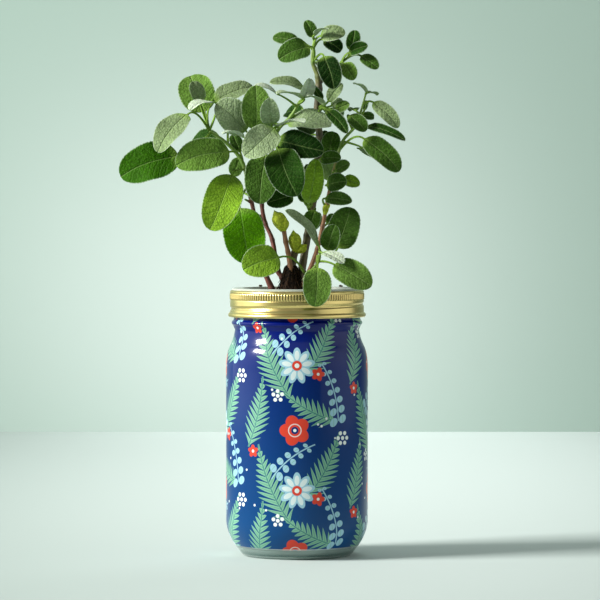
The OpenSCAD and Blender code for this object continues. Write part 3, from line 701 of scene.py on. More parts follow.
def clear_glass():
    """Pale green pressed glass with a faint wave in its surface. Round the thick glass of the foot the colour
    is deepened by painted shade that stands in for refraction, and a pale line round it is a painted highlight."""
    material, tree, shader = new_material("clear_glass", Roughness=0.03, IOR=1.5, Transmission_Weight=0.62)
    glass = bpy.context.scene.jar_planter_jar.glass_colour
    place = place_of(tree)
    height = split(tree, place)[2] / MM + noise(tree, place, 55) * 0.9
    # Painted shade: a darker band round the thick foot, standing in for its refraction
    deep = (abs(height - 2.6) / 2.2).less_from(1.2).clamped() * 0.7
    # Painted highlight: a pale line round the foot
    painted_highlight_line = (abs(height - 1.9) / 0.5).less_from(1.0).clamped()
    colour = blend_colour(tree, deep, glass, (0.10, 0.24, 0.21))
    paint(tree, shader, blend_colour(tree, painted_highlight_line, colour, (0.86, 0.98, 0.94)))
    raise_surface(tree, shader, noise(tree, place, 60), 0.12, 0.5)
    return material


class Film:
    """The print on the sleeve: motifs repeat over the unrolled film in columns, each column half
    a repeat lower than the one before it. Lengths are in millimetres as drawn. Each ink goes on
    over the colour that is there already."""

    def __init__(self, tree, across, up, ground):
        self.tree, self.across, self.up, self.colour = tree, across, up, ground
        self.column = TURN * FILM_R / (PRINT_COLUMNS * PRINT_SCALE)

    def at(self, x, y, turn):
        """Coordinates of a motif at x, y in the repeat, turned anticlockwise by turn degrees."""
        aside = self.across - x
        column = (aside / self.column).calc("ROUND")
        u = aside - column * self.column
        v = (self.up - y - column * (PRINT_REPEAT / 2)).wrap(PRINT_REPEAT / 2)
        c, s = math.cos(math.radians(turn)), math.sin(math.radians(turn))
        return u * c + v * s, v * c - u * s

    def bent(self, x, y, turn, bend):
        """Coordinates beside and along a motif's middle line, which bends to one side."""
        u, v = self.at(x, y, turn)
        return u - v * v * bend, v

    def spokes(self, x, y, turn, count, out):
        """The distance from a motif's middle, and the place past a distance out on the nearest of
        count spokes and beside it: the angle is folded into one spoke's share of the turn."""
        u, v = self.at(x, y, turn)
        radius, angle = length_of(u, v), v.calc("ARCTAN2", u).wrap(math.pi / count)
        return radius, radius * angle.calc("COSINE") - out, radius * angle.calc("SINE")

    def flower(self, x, y, turn, petals, reach, share, plump):
        """Depth inside a ring of oval petals with their middles at a share of the reach, and the
        distance from the flower's middle."""
        radius, past, beside = self.spokes(x, y, turn, petals, reach * share)
        long, wide = reach * (1 - share), reach * plump
        return length_of(past / long, beside / wide).less_from(1.0) * min(long, wide), radius

    def berries(self, x, y, turn, count, ring, size):
        """Depth inside a ring of round berries about one more."""
        radius, past, beside = self.spokes(x, y, turn, count, ring)
        return length_of(past, beside).calc("MINIMUM", radius).less_from(size)

    def frond(self, x, y, turn, length, width, bend, pitch=3.0):
        """Depth inside a frond: leaflets slope away from a bent rib, and grow short at both ends.
        The second field is the distance from the rib, the third the leaflet's own rib."""
        u, v = self.bent(x, y, turn, bend)
        aside = abs(u)
        end = (v / (length / 2)).calc("POWER", 2.0).less_from(1.0)
        reach = (end * (v / length).less_from(1.05)).calc("MAXIMUM", 0.0) * width
        leaflet = abs((v - aside * 0.85).wrap(pitch / 2))
        slim = (aside / (reach + 0.01)).calc("POWER", 2.0).less_from(1.0) * (pitch * 0.42)
        depth = (slim - leaflet).calc("MINIMUM", end * 9.0)
        stalk = aside.less_from(0.42).calc("MINIMUM", end * 9.0)
        return depth.calc("MAXIMUM", stalk), aside, leaflet

    def sprig(self, x, y, turn, length, bend, pitch, leaf):
        """Depth inside a sprig of round leaves in pairs along a bent stem, smaller to its end; then
        the depth inside its stem, and the distance from each leaf's middle across it."""
        u, v = self.bent(x, y, turn, bend)
        size = (v / length * 0.7).less_from(0.85) * leaf
        middle = (v / pitch).calc("ROUND") * pitch
        inside = (abs(middle) * -1.0 + length / 2 - 0.1) * 20.0
        a, b = abs(u) - size * 1.12 - 0.3, v - middle
        leaves = (size - length_of(a, b * 1.12)).calc("MINIMUM", inside)
        stem = abs(u).less_from(0.3).calc("MINIMUM", abs(v).less_from(length / 2))
        return leaves, stem, abs(a)

    def ink(self, depth, colour, strength=1.0):
        """Covers the print with a colour wherever depth is above nothing."""
        share = (depth / 0.12 + 0.5).clamped()
        share = share * strength if strength < 1 else share
        self.colour = blend_colour(self.tree, share, self.colour, colour)


def printed_film():
    """Glossy printed film: a blue ground that grows lighter and greener to the foot, partly the print's own
    ground and partly painted reflection of the pale floor, and a scattered garden print of fronds, round-leaved
    sprigs, daisies, poppies, berries and small dots."""
    inks = bpy.context.scene.jar_planter_jar
    material, tree, shader = new_material(
        "printed_film", Roughness=0.3, IOR=1.4, Specular_IOR_Level=0.1, Coat_Weight=0.47, Coat_Roughness=0.1,
        Coat_IOR=1.45)
    uv = tree.nodes.new("ShaderNodeUVMap")
    uv.uv_map = "film"
    across, up, _ = split(tree, uv.outputs["UV"])
    across, up = across / (MM * PRINT_SCALE), up / (MM * PRINT_SCALE)
    # Partly painted reflection: the ground grows lighter and greener towards the foot, standing in for the pale
    # floor reflected there
    rise = (up * (PRINT_SCALE / PRINT_H)).clamped()
    ground = blend_colour(tree, rise, inks.ground_low_and_reflection, inks.ground_high)
    film = Film(tree, across, up, ground)
    for motif in ((-13, 2, 24, 40, 7.0, 0.006), (14, 10, -30, 36, 6.4, -0.007), (6, -21, 62, 30, 5.6, 0.008),
                  (-19, -22, -14, 34, 6.0, -0.006)):
        depth, rib, leaflet = film.frond(*motif)
        film.ink(depth, inks.leaf_ink)
        film.ink(rib.less_from(0.22).calc("MINIMUM", depth), inks.vein_ink)
        film.ink(leaflet.less_from(0.16).calc("MINIMUM", depth - 0.25), inks.vein_ink, 0.6)
    for motif in ((-3, 15, -52, 26, 0.012, 4.6, 1.75), (18, -12, 18, 28, -0.010, 4.6, 1.75)):
        leaves, stem, rib = film.sprig(*motif)
        film.ink(stem, inks.sky_ink)
        film.ink(leaves, inks.sky_ink)
        film.ink(rib.less_from(0.14).calc("MINIMUM", leaves - 0.3), inks.leaf_ink, 0.8)
    # A daisy with a coral eye
    depth, radius = film.flower(0, 0, 10, 9, 8.6, 0.56, 0.22)
    film.ink(depth, inks.sky_ink)
    film.ink(depth - 0.75, inks.white_ink, 0.75)
    film.ink(radius.less_from(2.3), inks.coral_ink)
    film.ink(radius.less_from(1.1), inks.white_ink)
    # A large poppy with a pale ring and a dark eye
    depth, radius = film.flower(-1, 28, 36, 5, 7.2, 0.48, 0.44)
    film.ink(depth, inks.coral_ink)
    film.ink(abs(radius - 2.9).less_from(0.25).calc("MINIMUM", depth), inks.white_ink, 0.7)
    film.ink(radius.less_from(1.7), ground)
    film.ink(radius.less_from(0.75), inks.white_ink)
    for motif in ((23, 24, 0, 6, 2.6, 0.95), (-9, -14, 20, 5, 2.2, 0.9)):
        film.ink(film.berries(*motif), inks.white_ink)
    for motif in ((10, -4, 0, 5, 3.3, 0.5, 0.36), (-22, 18, 20, 5, 3.0, 0.5, 0.36)):
        depth, radius = film.flower(*motif)
        film.ink(depth, inks.coral_ink)
        film.ink(radius.less_from(0.7), inks.white_ink)
    # A dot in the middle of each cell of about 11.5 mm, and a pale line along the lower edge
    film.ink(cells(tree, uv.outputs["UV"], 1 / 0.0115).less_from(0.075) * 8.2, inks.white_ink, 0.9)
    film.ink(up.less_from(0.6), inks.white_ink, 0.55)
    paint(tree, shader, film.colour)
    raise_surface(tree, shader, noise(tree, place_of(tree), 45, 3), 0.16, 0.5)
    return material


def gold_tinplate():
    """Lacquered gold tinplate with faint rolling streaks, worn patches of gloss, and painted shade that darkens
    the valleys of the knurl."""
    material, tree, shader = new_material("gold_tinplate", Metallic=1.0, Roughness=0.24)
    place = place_of(tree)
    streaks = noise(tree, stretched(tree, place, (30, 30, 1400)), 1.0, 3)
    patches = noise(tree, place, 90, 3)
    gold = bpy.context.scene.jar_planter_band.gold_colour
    lacquer = blend_colour(tree, (streaks * 0.5 + patches * 0.5 - 0.2).clamped(), gold, shade(gold, 0.86))
    # Painted shade: the knurl's valleys are darkened towards a dark brown
    paint(tree, shader, blend_colour(tree, attribute(tree, "valley") * 0.76, lacquer, (0.10, 0.055, 0.008)))
    wear_roughness(tree, shader, patches * 0.6 + streaks * 0.4, 0.22, 0.36)
    raise_surface(tree, shader, streaks * 0.6 + patches * 0.4, 0.012, 0.4)
    return material


def white_plastic():
    """Moulded white plastic with a fine satin grain and a little dust in patches."""
    material, tree, shader = new_material(
        "white_plastic", IOR=1.48, Subsurface_Weight=0.12, Subsurface_Radius=(0.004, 0.004, 0.003),
        Subsurface_Scale=1.0)
    place = place_of(tree)
    dust = noise(tree, place, 140, 4)
    white = bpy.context.scene.jar_planter_cup.plastic_colour
    paint(tree, shader, blend_colour(tree, (dust * 1.6 - 0.6).clamped(), white, shade(white, 0.9)))
    wear_roughness(tree, shader, dust, 0.28, 0.5)
    raise_surface(tree, shader, noise(tree, place, 1800), 0.03, 0.5)
    return material


def wool_felt():
    """Off-white felt: matted short fibres in two sizes, soft and dull."""
    material, tree, shader = new_material("wool_felt", Roughness=0.92, Sheen_Weight=0.35, Sheen_Roughness=0.5)
    place = place_of(tree)
    fine = noise(tree, place, 900, 4, 0.65) * 0.6
    mat = fine + noise(tree, stretched(tree, place, (700, 700, 2600)), 1.0) * 0.4
    felt = bpy.context.scene.jar_planter_cup.felt_colour
    paint(tree, shader, blend_colour(tree, (mat * 1.4 - 0.2).clamped(), shade(felt, 0.72), felt))
    raise_surface(tree, shader, mat, 0.5, 0.8)
    return material


def coir_fibre():
    """Dark coir: crumbly lumps with paler grains, and fibres tinted by their own attribute."""
    material, tree, shader = new_material("coir_fibre", Roughness=0.92, Specular_IOR_Level=0.15)
    place = place_of(tree)
    grain = cells(tree, place, 900) * 0.5 + noise(tree, place, 420, 4, 0.7) * 0.7
    coir = bpy.context.scene.jar_planter_cup
    share = (grain * 1.3 - 0.45 + attribute(tree, "pale")).clamped()
    paint(tree, shader, blend_colour(tree, share, coir.coir_dark, coir.coir_light))
    raise_surface(tree, shader, grain, 0.7, 0.9)
    return material


def stem_bark(name, colour, patch, young):
    """Bark with long patches of a second colour, darker joints and a fine down; the young end of
    a shoot is green."""
    material, tree, shader = new_material(name, Roughness=0.55, Sheen_Weight=0.3, Sheen_Roughness=0.4)
    place = place_of(tree)
    grain = noise(tree, stretched(tree, place, (420, 420, 90)), 1.0, 3)
    share = (grain * 2.2 - 0.7 + attribute(tree, "joint") * 0.5).clamped()
    bark = blend_colour(tree, share, colour, patch)
    fresh = blend_colour(tree, (grain * 1.6 - 0.5).clamped() * 0.5, young, shade(young, 0.6))
    paint(tree, shader, blend_colour(tree, attribute(tree, "young"), bark, fresh))
    raise_surface(tree, shader, noise(tree, stretched(tree, place, (1500, 1500, 260)), 1.0), 0.12, 0.6)
    return material


def sage_leaf(name):
    """A sage leaf: the tone of each leaf comes from its own attribute, and is partly painted light; pale down
    lies on the underside and in patches, and the pale edges are partly down and partly painted rim light; a rib
    and faint curved veins sink into a pebbled face, whose sunken edges carry painted shade and whose raised
    middles carry a painted highlight, and the stalk is paler and yellower than the blade."""
    plant = bpy.context.scene.jar_planter_plant
    material, tree, shader = new_material(
        name, Roughness=0.7, Specular_IOR_Level=0.08, Sheen_Weight=plant.down, Sheen_Roughness=0.4,
        Subsurface_Weight=0.08, Subsurface_Radius=(0.0010, 0.0016, 0.0004), Subsurface_Scale=1.0)
    place = place_of(tree)
    tone = attribute(tree, "tone", "Vector")
    stalk = attribute(tree, "stalk")
    along, across, edge = split(tree, attribute(tree, "leaf", "Vector"))
    slant = abs((along - across * 0.95 + across * across * 0.022).wrap(plant.vein_gap / 2))
    fade = (edge / 2.5).clamped()
    veins = (slant / 0.42).less_from(1.0).clamped() * fade
    rib = (across / 0.6).less_from(1.0).clamped()
    pebble = cells(tree, place, 700) * 0.75 + noise(tree, place, 1500, 2) * 0.35
    patches = noise(tree, place, 110, 3)
    dark = blend_colour(tree, 0.38, tone, (0.0, 0.004, 0.0))
    fresh = blend_colour(tree, 0.35, tone, tone, "ADD")
    colour = blend_colour(tree, (patches * 1.8 - 0.4).clamped(), dark, fresh)
    # Painted shade darkens the pebbles' sunken edges, and a painted highlight pales their raised middles
    colour = blend_colour(tree, (pebble * 3.0 - 1.0).clamped() * 0.8, colour, dark)
    colour = blend_colour(tree, (pebble * -3.6 + 1.3).clamped() * 0.16, colour, (0.32, 0.44, 0.22))
    colour = blend_colour(tree, veins * 0.07 + rib * 0.28, colour, (0.34, 0.50, 0.16))
    down = attribute(tree, "down")
    # The pale edge is partly down and partly painted rim light
    pale_margin_and_rim_light = (edge / 0.75).less_from(1.0).clamped() * stalk.less_from(1.0) * 0.5
    down_and_rim_light = (down * (patches * 0.9 + 0.5) * (pebble * -0.9 + 1.35) + pale_margin_and_rim_light).clamped()
    colour = blend_colour(tree, down_and_rim_light, colour, (0.54, 0.64, 0.48))
    colour = blend_colour(tree, attribute(tree, "under") * 0.32, colour, (0.24, 0.34, 0.13))
    paint(tree, shader, blend_colour(tree, stalk, colour, plant.stalk_colour))
    raise_surface(tree, shader, pebble.less_from(1.0) + veins * -0.35 + rib * -0.8, 0.6, 1.0)
    return material


def stage_surface(name, middle, edge, centre, reach, upright):
    """A matt studio surface: its colour falls from the middle's towards the edge's as a bell curve of the
    distance from a centre, with its own reach across and along the surface, in metres. This fall is a painted
    pool of light, lit in the middle and in painted shade towards the edges. An upright one is clear from its
    back, so that the planter can be looked at from behind."""
    material, tree, shader = new_material(name, Roughness=0.9, Specular_IOR_Level=0.1)
    x, y, z = split(tree, place_of(tree))
    a, b = (x - centre[0]) / reach[0], ((z if upright else y) - centre[1]) / reach[1]
    # Painted light: a pool of light in the middle, fading to painted shade at the edges
    share = ((a * a + b * b) * -1.0).calc("EXPONENT").calc("MAXIMUM", 0.0 if upright else 0.15)
    paint(tree, shader, blend_colour(tree, share, edge, middle))
    if upright:
        side = tree.nodes.new("ShaderNodeNewGeometry").outputs["Backfacing"]
        clear = tree.nodes.new("ShaderNodeBsdfTransparent").outputs[0]
        output = next(n for n in tree.nodes if n.type == "OUTPUT_MATERIAL").inputs["Surface"]
        tree.links.new(blend_shaders(tree, side, shader.outputs[0], clear), output)
    return material


# The jar's pieces

def glass_outside():
    """The outside of the jar from the edge of its push-up to the rim: a broken line of (radius,
    height) through the heel, the body, the two bends of the shoulder, the bead and the finish."""
    bead = np.radians(np.linspace(-60, 60, 9))
    parts = [
        bend_line((FOOT_R, 0), (GLASS_R, 13), (GLASS_R, HEEL_H), 22),
        bend_line((GLASS_R, SHOULDER_Z), (GLASS_R, SHOULDER_Z + 9.5), (SHOULDER_R, SHOULDER_TOP), 14),
        bend_line((SHOULDER_R, SHOULDER_TOP), (WAIST_R + 0.6, WAIST_Z - 5.3), (WAIST_R, WAIST_Z), 14)[1:],
        np.stack([WAIST_R + 0.6 + BEAD_R * np.cos(bead), BEAD_Z + BEAD_R * np.sin(bead)], 1),
        [(FINISH_R, WAIST_Z + 7.4), (FINISH_R, JAR_H - RIM_R)],
    ]
    return spaced(np.vstack(parts), 2.0)


def thread_ridge(profile, columns):
    """The screw thread's height over the finish for each row and column: full on its crest, it
    falls off evenly to nothing at half its root width, and it rises a pitch in each turn."""
    turn = np.arange(columns) / columns
    height = np.zeros((len(profile), columns))
    for lap in (-1, 0, 1):
        away = np.abs(profile[:, 1:] - THREAD_Z - PITCH * (turn + lap))
        ends = np.clip(np.minimum(turn + lap, THREAD_TURNS - turn - lap) * 24, 0, 1)
        height = np.maximum(height, np.clip((1.6 - away) / 0.85, 0, 1) * ends)
    return THREAD_DEPTH * height


def glass_rings(columns=192):
    """The closed wall of the jar: push-up, outside, rim, bore and inner floor turned round the
    axis, with the thread standing on the outside of the finish."""
    outside = glass_outside()
    finish = spaced([(FINISH_R, WAIST_Z + 8), (FINISH_R, JAR_H - RIM_R)], 0.45)
    outside = np.vstack([outside[outside[:, 1] < WAIST_Z + 7.5], finish])
    rim = np.radians(np.linspace(0, 90, 7))[1:]
    bore_r, neck_r, rim_z = GLASS_R - GLASS_WALL, GLASS_R - 5.7, JAR_H - RIM_R
    inside = [
        np.stack([FINISH_R - RIM_R + RIM_R * np.cos(rim), rim_z + RIM_R * np.sin(rim)], 1),
        np.stack([MOUTH_R + RIM_R - RIM_R * np.sin(rim), rim_z + RIM_R * np.cos(rim)], 1),
        bend_line((MOUTH_R, WAIST_Z + 1), (MOUTH_R, WAIST_Z - 5.3), (neck_r, SHOULDER_TOP), 12),
        bend_line((neck_r, SHOULDER_TOP), (bore_r, SHOULDER_Z + 9.5), (bore_r, SHOULDER_Z), 12)[1:],
        bend_line((bore_r, HEEL_H), (bore_r, 6.5), (FOOT_R - 6, GLASS_FLOOR), 14),
        [(12, GLASS_FLOOR), (0.5, GLASS_FLOOR)],
    ]
    push_up = [(0.5, PUSH_UP), (12, PUSH_UP), (FOOT_R - 13, PUSH_UP), (FOOT_R - 9, 0.8), (FOOT_R - 7, 0),
               (FOOT_R - 3.5, 0)]
    profile = np.vstack([push_up, outside, *inside])
    spread = np.zeros((len(profile), columns))
    spread[len(push_up):len(push_up) + len(outside)] = thread_ridge(outside, columns)
    return turned(profile, columns, spread)


class JARPLANTER_OT_glass(bpy.types.Operator):
    """Turn the clear jar with its heel, shoulder, bead and screw thread"""

    bl_idname = "jarplanter.glass"
    bl_label = "Glass jar"

    def execute(self, context):
        build("jar_glass", [surface(glass_rings())], clear_glass(), "jar", ["glass_jar"])
        return {"FINISHED"}


class JARPLANTER_OT_sleeve(bpy.types.Operator):
    """Shrink the printed film on the jar, from above its foot to under the band"""

    bl_idname = "jarplanter.sleeve"
    bl_label = "Printed sleeve"

    def execute(self, context):
        """The film follows the glass at two distances, a small gap and that of its outer face; its
        print is unrolled by the angle across and the length along the profile upward."""
        columns = 270
        line = glass_outside()
        line = spaced(line[(line[:, 1] > FILM_LOW) & (line[:, 1] < FILM_TOP + 0.6)], 1.4)
        line = np.vstack([line[line[:, 1] < FILM_TOP], [(FINISH_R, FILM_TOP)]])
        outer, inner = offset_line(line, FILM_R - GLASS_R), offset_line(line, FILM_GAP)[::-1]
        profile = np.vstack([outer, inner])
        piece = build("film_sleeve", [surface(turned(profile, columns), join_rows=True)], printed_film(),
                      "jar", ["printed_sleeve"])
        up = way_along(line) * MM
        up = np.concatenate([up, up[::-1]])
        i, k = np.meshgrid(np.arange(len(profile)), np.arange(columns), indexing="ij")
        j = (i + 1) % len(profile)
        round_film = TURN * FILM_R * MM / columns
        corners = [np.stack([m * round_film, up[n]], -1) for m, n in ((k, i), (k + 1, i), (k + 1, j), (k, j))]
        piece.data.uv_layers.new(name="film").uv.foreach_set(
            "vector", np.stack(corners, 2).astype(np.float32).ravel())
        return {"FINISHED"}


def thread_groove(height, columns):
    """How deep the rolled groove lies in the band's wall at each height and column: it rises a
    pitch in each turn, is round in section and runs out before the roll and the knurl."""
    turn = np.arange(columns) / columns
    low = THREAD_Z - 2.3 + PITCH * turn
    away = np.min([np.abs(height - low - lap * PITCH) for lap in (-1, 0, 1)], axis=0)
    ends = np.clip(np.minimum((height - BAND_Z - 3.3) / 1.2, (BAND_Z + KNURL_LOW - height) / 1.2), 0, 1)
    return 0.8 * np.clip(1 - (away / 1.5) ** 2, 0, 1) ** 1.5 * ends


def knurl(height, columns, ribs):
    """The knurl's ribs, from 0 in their valleys to 1 on their rounded crests, and how far they
    stand at each height: they run out over about half a millimetre at both ends."""
    wave = 0.5 + 0.5 * np.cos(TURN * ribs * np.arange(columns) / columns)
    low, high = BAND_Z + KNURL_LOW + 0.1, BAND_Z + KNURL_TOP
    ends = np.clip(np.minimum((height - low) / 0.5, (high - height) / 0.6), 0, 1)
    return wave ** 0.8, ends


class JARPLANTER_OT_band(bpy.types.Operator):
    """Roll the gold screw band: curled lower edge, thread groove, knurl and lip"""

    bl_idname = "jarplanter.band"
    bl_label = "Screw band"

    def execute(self, context):
        """A strip of tin as one closed section: outside up, over the lip, inside down and round
        the curl. The groove moves both faces in, the knurl moves only the outer one out."""
        props = context.scene.jar_planter_band
        columns, z, top = 5 * props.ribs, BAND_Z, BAND_Z + BAND_H
        inner_r, roll_r = BAND_R - TIN, BAND_R + CURL
        curl = bend_line((BAND_R + 0.45, z), (roll_r, z), (roll_r, z + CURL), 5)
        curl = np.vstack([curl, bend_line(curl[-1], (roll_r, z + 2.5), (BAND_R, z + 3.2), 5)[1:]])
        wall = spaced([(BAND_R, z + 3.4), (BAND_R, z + KNURL_TOP)], 0.36)
        lip = bend_line((BAND_R + 0.1, z + 16.2), (BAND_R, top), (BAND_R - 1.7, top), 6)
        over = np.vstack([lip, [(BAND_R - 4, top), (LIP_R, top), (LIP_R - 0.3, top - TIN / 2),
                                (LIP_R, top - TIN)]])
        under = bend_line((BAND_R - 2, top - TIN), (inner_r, z + 17.4), (inner_r, z + 15.8), 4)
        inner = np.vstack([under, spaced([(inner_r, z + 15.4), (inner_r, z + 3)], 0.9)])
        hem = [(BAND_R - 0.1, z + 1.9), (BAND_R, z + 0.9), (BAND_R + 0.1, z + 0.3)]
        profile = np.vstack([curl, wall, over, inner, hem])
        height = profile[:, 1:]
        spread = -thread_groove(height, columns)
        outer = slice(len(curl), len(curl) + len(wall))
        ribs, ends = knurl(height[outer], columns, props.ribs)
        spread[outer] += RIB_DEPTH * ribs * ends - 0.24 * (height[outer] > z + KNURL_LOW)
        # Painted shade for the valleys between the knurl's ribs, kept as an attribute for the gold's colour
        valley = np.zeros((1, len(profile), columns))
        valley[0, outer] = np.clip(1 - 1.7 * ribs, 0, 1) * ends
        spread += 0.008 * (bumps(turned(profile, columns)[0] / (1, 1, 1.6), 7.0, 5) - 0.5)
        build("gold_band", [surface(turned(profile, columns, spread), True, valley=valley)], gold_tinplate(),
              "band", ["screw_band"])
        return {"FINISHED"}


class JARPLANTER_OT_cup(bpy.types.Operator):
    """Give the net cup its moulded plastic and hang the felt wick through its floor"""

    bl_idname = "jarplanter.cup"
    bl_label = "Net cup and wick"

    def execute(self, context):
        """The wick is a flat oblong section carried down one leg, over two round bends and down
        the other leg. Its edges are rounded and its faces fuzzy."""
        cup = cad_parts["net_cup"]
        cup.data.materials.clear()
        cup.data.materials.append(white_plastic())
        low, high = box_of("wick")
        wide, leg, top, bend = high[0] - low[0], high[1] - WICK_T / 2, high[2] - WICK_T / 2, 1.4
        corner = np.radians(np.linspace(0, 90, 7))
        right = np.stack([leg - bend + bend * np.cos(corner), top - bend + bend * np.sin(corner)], 1)
        line = spaced(np.vstack([[(leg, low[2])], right, (right * (-1, 1))[::-1], [(-leg, low[2])]]), 0.8)
        side = right_of(line)
        # Round the section, across is the place on the width and deep the place on the thickness
        across = np.concatenate([np.linspace(-0.5, 0.5, 15), np.linspace(0.5, -0.5, 15)])
        deep = np.repeat([0.5, -0.5], 15)
        deep[[0, 14, 15, 29]] *= 0.35
        place = np.stack(np.broadcast_arrays(across * wide, line[:, :1], line[:, 1:] + deep * 9), -1)
        deep = deep * WICK_T * (0.93 - 0.28 * bumps(place, 2.2, 3) * (np.abs(deep) > 0.4))
        width = wide - 0.5 * bumps(np.insert(line, 0, 0.0, axis=1), 5.0, 4)[:, None]
        y, z = (line[:, i:i + 1] + side[:, i:i + 1] * deep for i in range(2))
        rings = np.stack([across * width, y, z], -1)
        piece = build("felt_wick", [surface(rings[None])], wool_felt(), "cup", ["wick"])
        return {"FINISHED"}


def fibres(count, seed, start, heading, reach, wander, radius=0.16):
    """Rings of short bent fibres: each runs from its start along its heading for its reach, and
    strays sideways by a wander that grows with the square of the way along it."""
    rng = np.random.default_rng(seed)
    t = np.linspace(0, 1, 7)[None, :, None]
    stray = rng.normal(size=(count, 1, 3)) * wander
    line = start[:, None] + heading[:, None] * reach[:, None, None] * t + stray * t * t
    thick = radius * (1 - 0.45 * t[..., 0]) * rng.uniform(0.6, 1.3, (count, 1))
    return tube_rings(line, thick, 4, (0.3, 0.2, 1))


def plug_parts(rng, count=420):
    """The coir plug: a cone with a low dome, turned round the axis and pitted by bumps, and
    fibres that lie on the dome in all directions."""
    low, (top_r, _, top) = box_of("growing_medium")
    rise = top - COIR_DOME
    foot_r = top_r - (rise - low[2]) * (CUP_R - CUP_FLOOR_R) / (LIP_TOP - CUP_FLOOR_Z)
    dome = np.radians(np.linspace(0, 88, 44))
    profile = np.vstack([
        [(0.5, low[2]), (foot_r * 0.6, low[2])], spaced([(foot_r, low[2]), (top_r, rise)], 1.6),
        np.stack([top_r * np.cos(dome), rise + COIR_DOME * np.sin(dome)], 1)[1:]])
    smooth = turned(profile, 180)[0]
    pit = 0.9 * bumps(smooth, 2.1, 11) + 0.7 * bumps(smooth, 5.5, 12)
    rings = turned(profile, 180, -0.7 * pit, np.where(profile[:, 1:] > rise, 0.7 - pit, 0.0))
    radius, angle = top_r * 0.93 * np.sqrt(rng.random(count)), TURN * rng.random(count)
    start = round_axis(radius, angle, rise + 0.35 + COIR_DOME * np.sqrt(1 - (radius / top_r) ** 2))
    heading = round_axis(1, TURN * rng.random(count), -0.045 * radius / top_r)
    reach = np.minimum(rng.uniform(4, 15, count), (top_r - radius) * 0.8 + 2)
    threads = fibres(count, 9, start, heading, reach, 0.9)
    return [surface(rings, pale=0), surface(threads, pale=rng.uniform(0.1, 0.9, (count, 1, 1)))]


def crown_parts(rng, count=150):
    """The crown: a mound about the stems' foot, lumpy and bound with thin roots."""
    low, high = box_of("root_crown")
    centre = (low[:2] + high[:2]) / 2
    wide, tall = (high[0] - low[0]) / 2, high[2] - low[2]
    t = np.linspace(0, 1, 60)
    swell = wide * (1 - 0.62 * t ** 1.1) * np.sqrt(np.clip(1 - t ** 9, 0, 1))
    mound = np.stack([np.maximum(swell, 0.4), low[2] + tall * t], 1)
    smooth = turned(mound, 96, centre=centre)[0]
    lump = 1.5 * bumps(smooth, 2.6, 21) + 0.7 * bumps(smooth, 1.1, 22) - 1.2
    rings = turned(mound, 96, np.where(mound[:, :1] > 1, lump, 0), centre=centre)
    angle, share = TURN * rng.random(count), rng.uniform(0.15, 0.95, count)
    start = round_axis(wide * (1 - 0.6 * share), angle, low[2] + tall * share * 0.94, centre)
    heading = unit(round_axis(0.42, angle + rng.normal(size=count) * 0.6, -1))
    reach = np.minimum(rng.uniform(5, 13, count), start[:, 2] - low[2] - 1)
    roots = fibres(count, 23, start, heading, reach, 0.8, 0.28)
    return [surface(rings, pale=-0.25), surface(roots, pale=rng.uniform(-0.3, 0.25, (count, 1, 1)))]


def crumb_parts():
    """The loose crumbs: each is a heap of rounded grains on the flange, egg shapes with bumps."""
    parts = []
    t = np.linspace(0, 1, 14)
    for place, size, seed in CRUMBS:
        heap = np.random.default_rng(seed)
        for grain in range(5):
            turn = math.radians(place) + heap.normal() * 0.022
            reach = 39.75 + heap.normal() * 0.5
            wide = size * heap.uniform(0.45, 0.95)
            egg = np.stack([np.maximum(wide * np.sin(math.pi * t) ** 0.7, 0.03),
                            FLANGE_TOP + wide * (0.75 - 0.75 * np.cos(math.pi * t))], 1)
            middle = (reach * math.cos(turn), reach * math.sin(turn))
            spread = 0.3 * wide * (bumps(turned(egg, 18, centre=middle)[0], 0.5, seed + grain) - 0.6)
            rings = turned(egg, 18, np.where(egg[:, :1] > 0.1, spread, 0), centre=middle)
            parts.append(surface(rings, pale=0.15))
    return parts


class JARPLANTER_OT_coir(bpy.types.Operator):
    """Fill the cup with coir and raise the rooted crown and the loose crumbs"""

    bl_idname = "jarplanter.coir"
    bl_label = "Coir and crown"

    def execute(self, context):
        material, rng = coir_fibre(), np.random.default_rng(8)
        build("coir_plug", plug_parts(rng), material, "plant", ["growing_medium"])
        build("rooted_crown", crown_parts(rng), material, "plant", ["root_crown"])
        build("flange_crumbs", crumb_parts(), material, "cup", ["coir_crumbs"])
        return {"FINISHED"}


# The plant

def stem_rings(path, young_from):
    """Rings of a four-cornered shoot along a smooth line: it swells a little at each joint, where
    leaves leave it, and its corners stand out by a cosine of four times the angle. It turns young
    and green over the fifth of its length that follows young_from."""
    points = np.asarray(path, float)
    line, at = smooth_line(points, 0.8)
    near = np.exp(-(np.abs(at[:, None] - way_along(points[:, :3])).min(1) / 1.3) ** 2)
    angle = TURN * np.arange(24) / 24
    rough = bumps(line[:, :3], 2.0, 41) - 0.5
    radius = line[:, 3:] * (1 + 0.16 * near + 0.12 * rough)[:, None] * (1 + 0.055 * np.cos(4 * angle))
    radius[-1] *= 0.55
    rings = tube_rings(line[None, :, :3], radius[None], 24)
    young = np.clip((at / at[-1] - young_from) * 5, 0, 1)
    return surface(rings, joint=near[None, :, None], young=young[None, :, None])


class JARPLANTER_OT_stems(bpy.types.Operator):
    """Grow the stems with their joints"""

    bl_idname = "jarplanter.stems"
    bl_label = "Stems"

    def execute(self, context):
        plant = context.scene.jar_planter_plant
        barks = {
            "red_stem": (plant.red_stem, shade(plant.red_stem, 0.45)),
            "tan_stem": (plant.tan_stem, shade(plant.tan_stem, 0.42)),
            "green_stem": (plant.green_stem, (0.030, 0.024, 0.014)),
        }
        finishes = {slot: stem_bark(slot, *colours, plant.stalk_colour) for slot, colours in barks.items()}
        for node, paths in STEMS.items():
            slot, young_from = STEM_FINISH[node]
            parts = [stem_rings(path, young_from) for path in paths]
            build(node + "_shoot", parts, finishes[slot], "plant", [node])
        return {"FINISHED"}


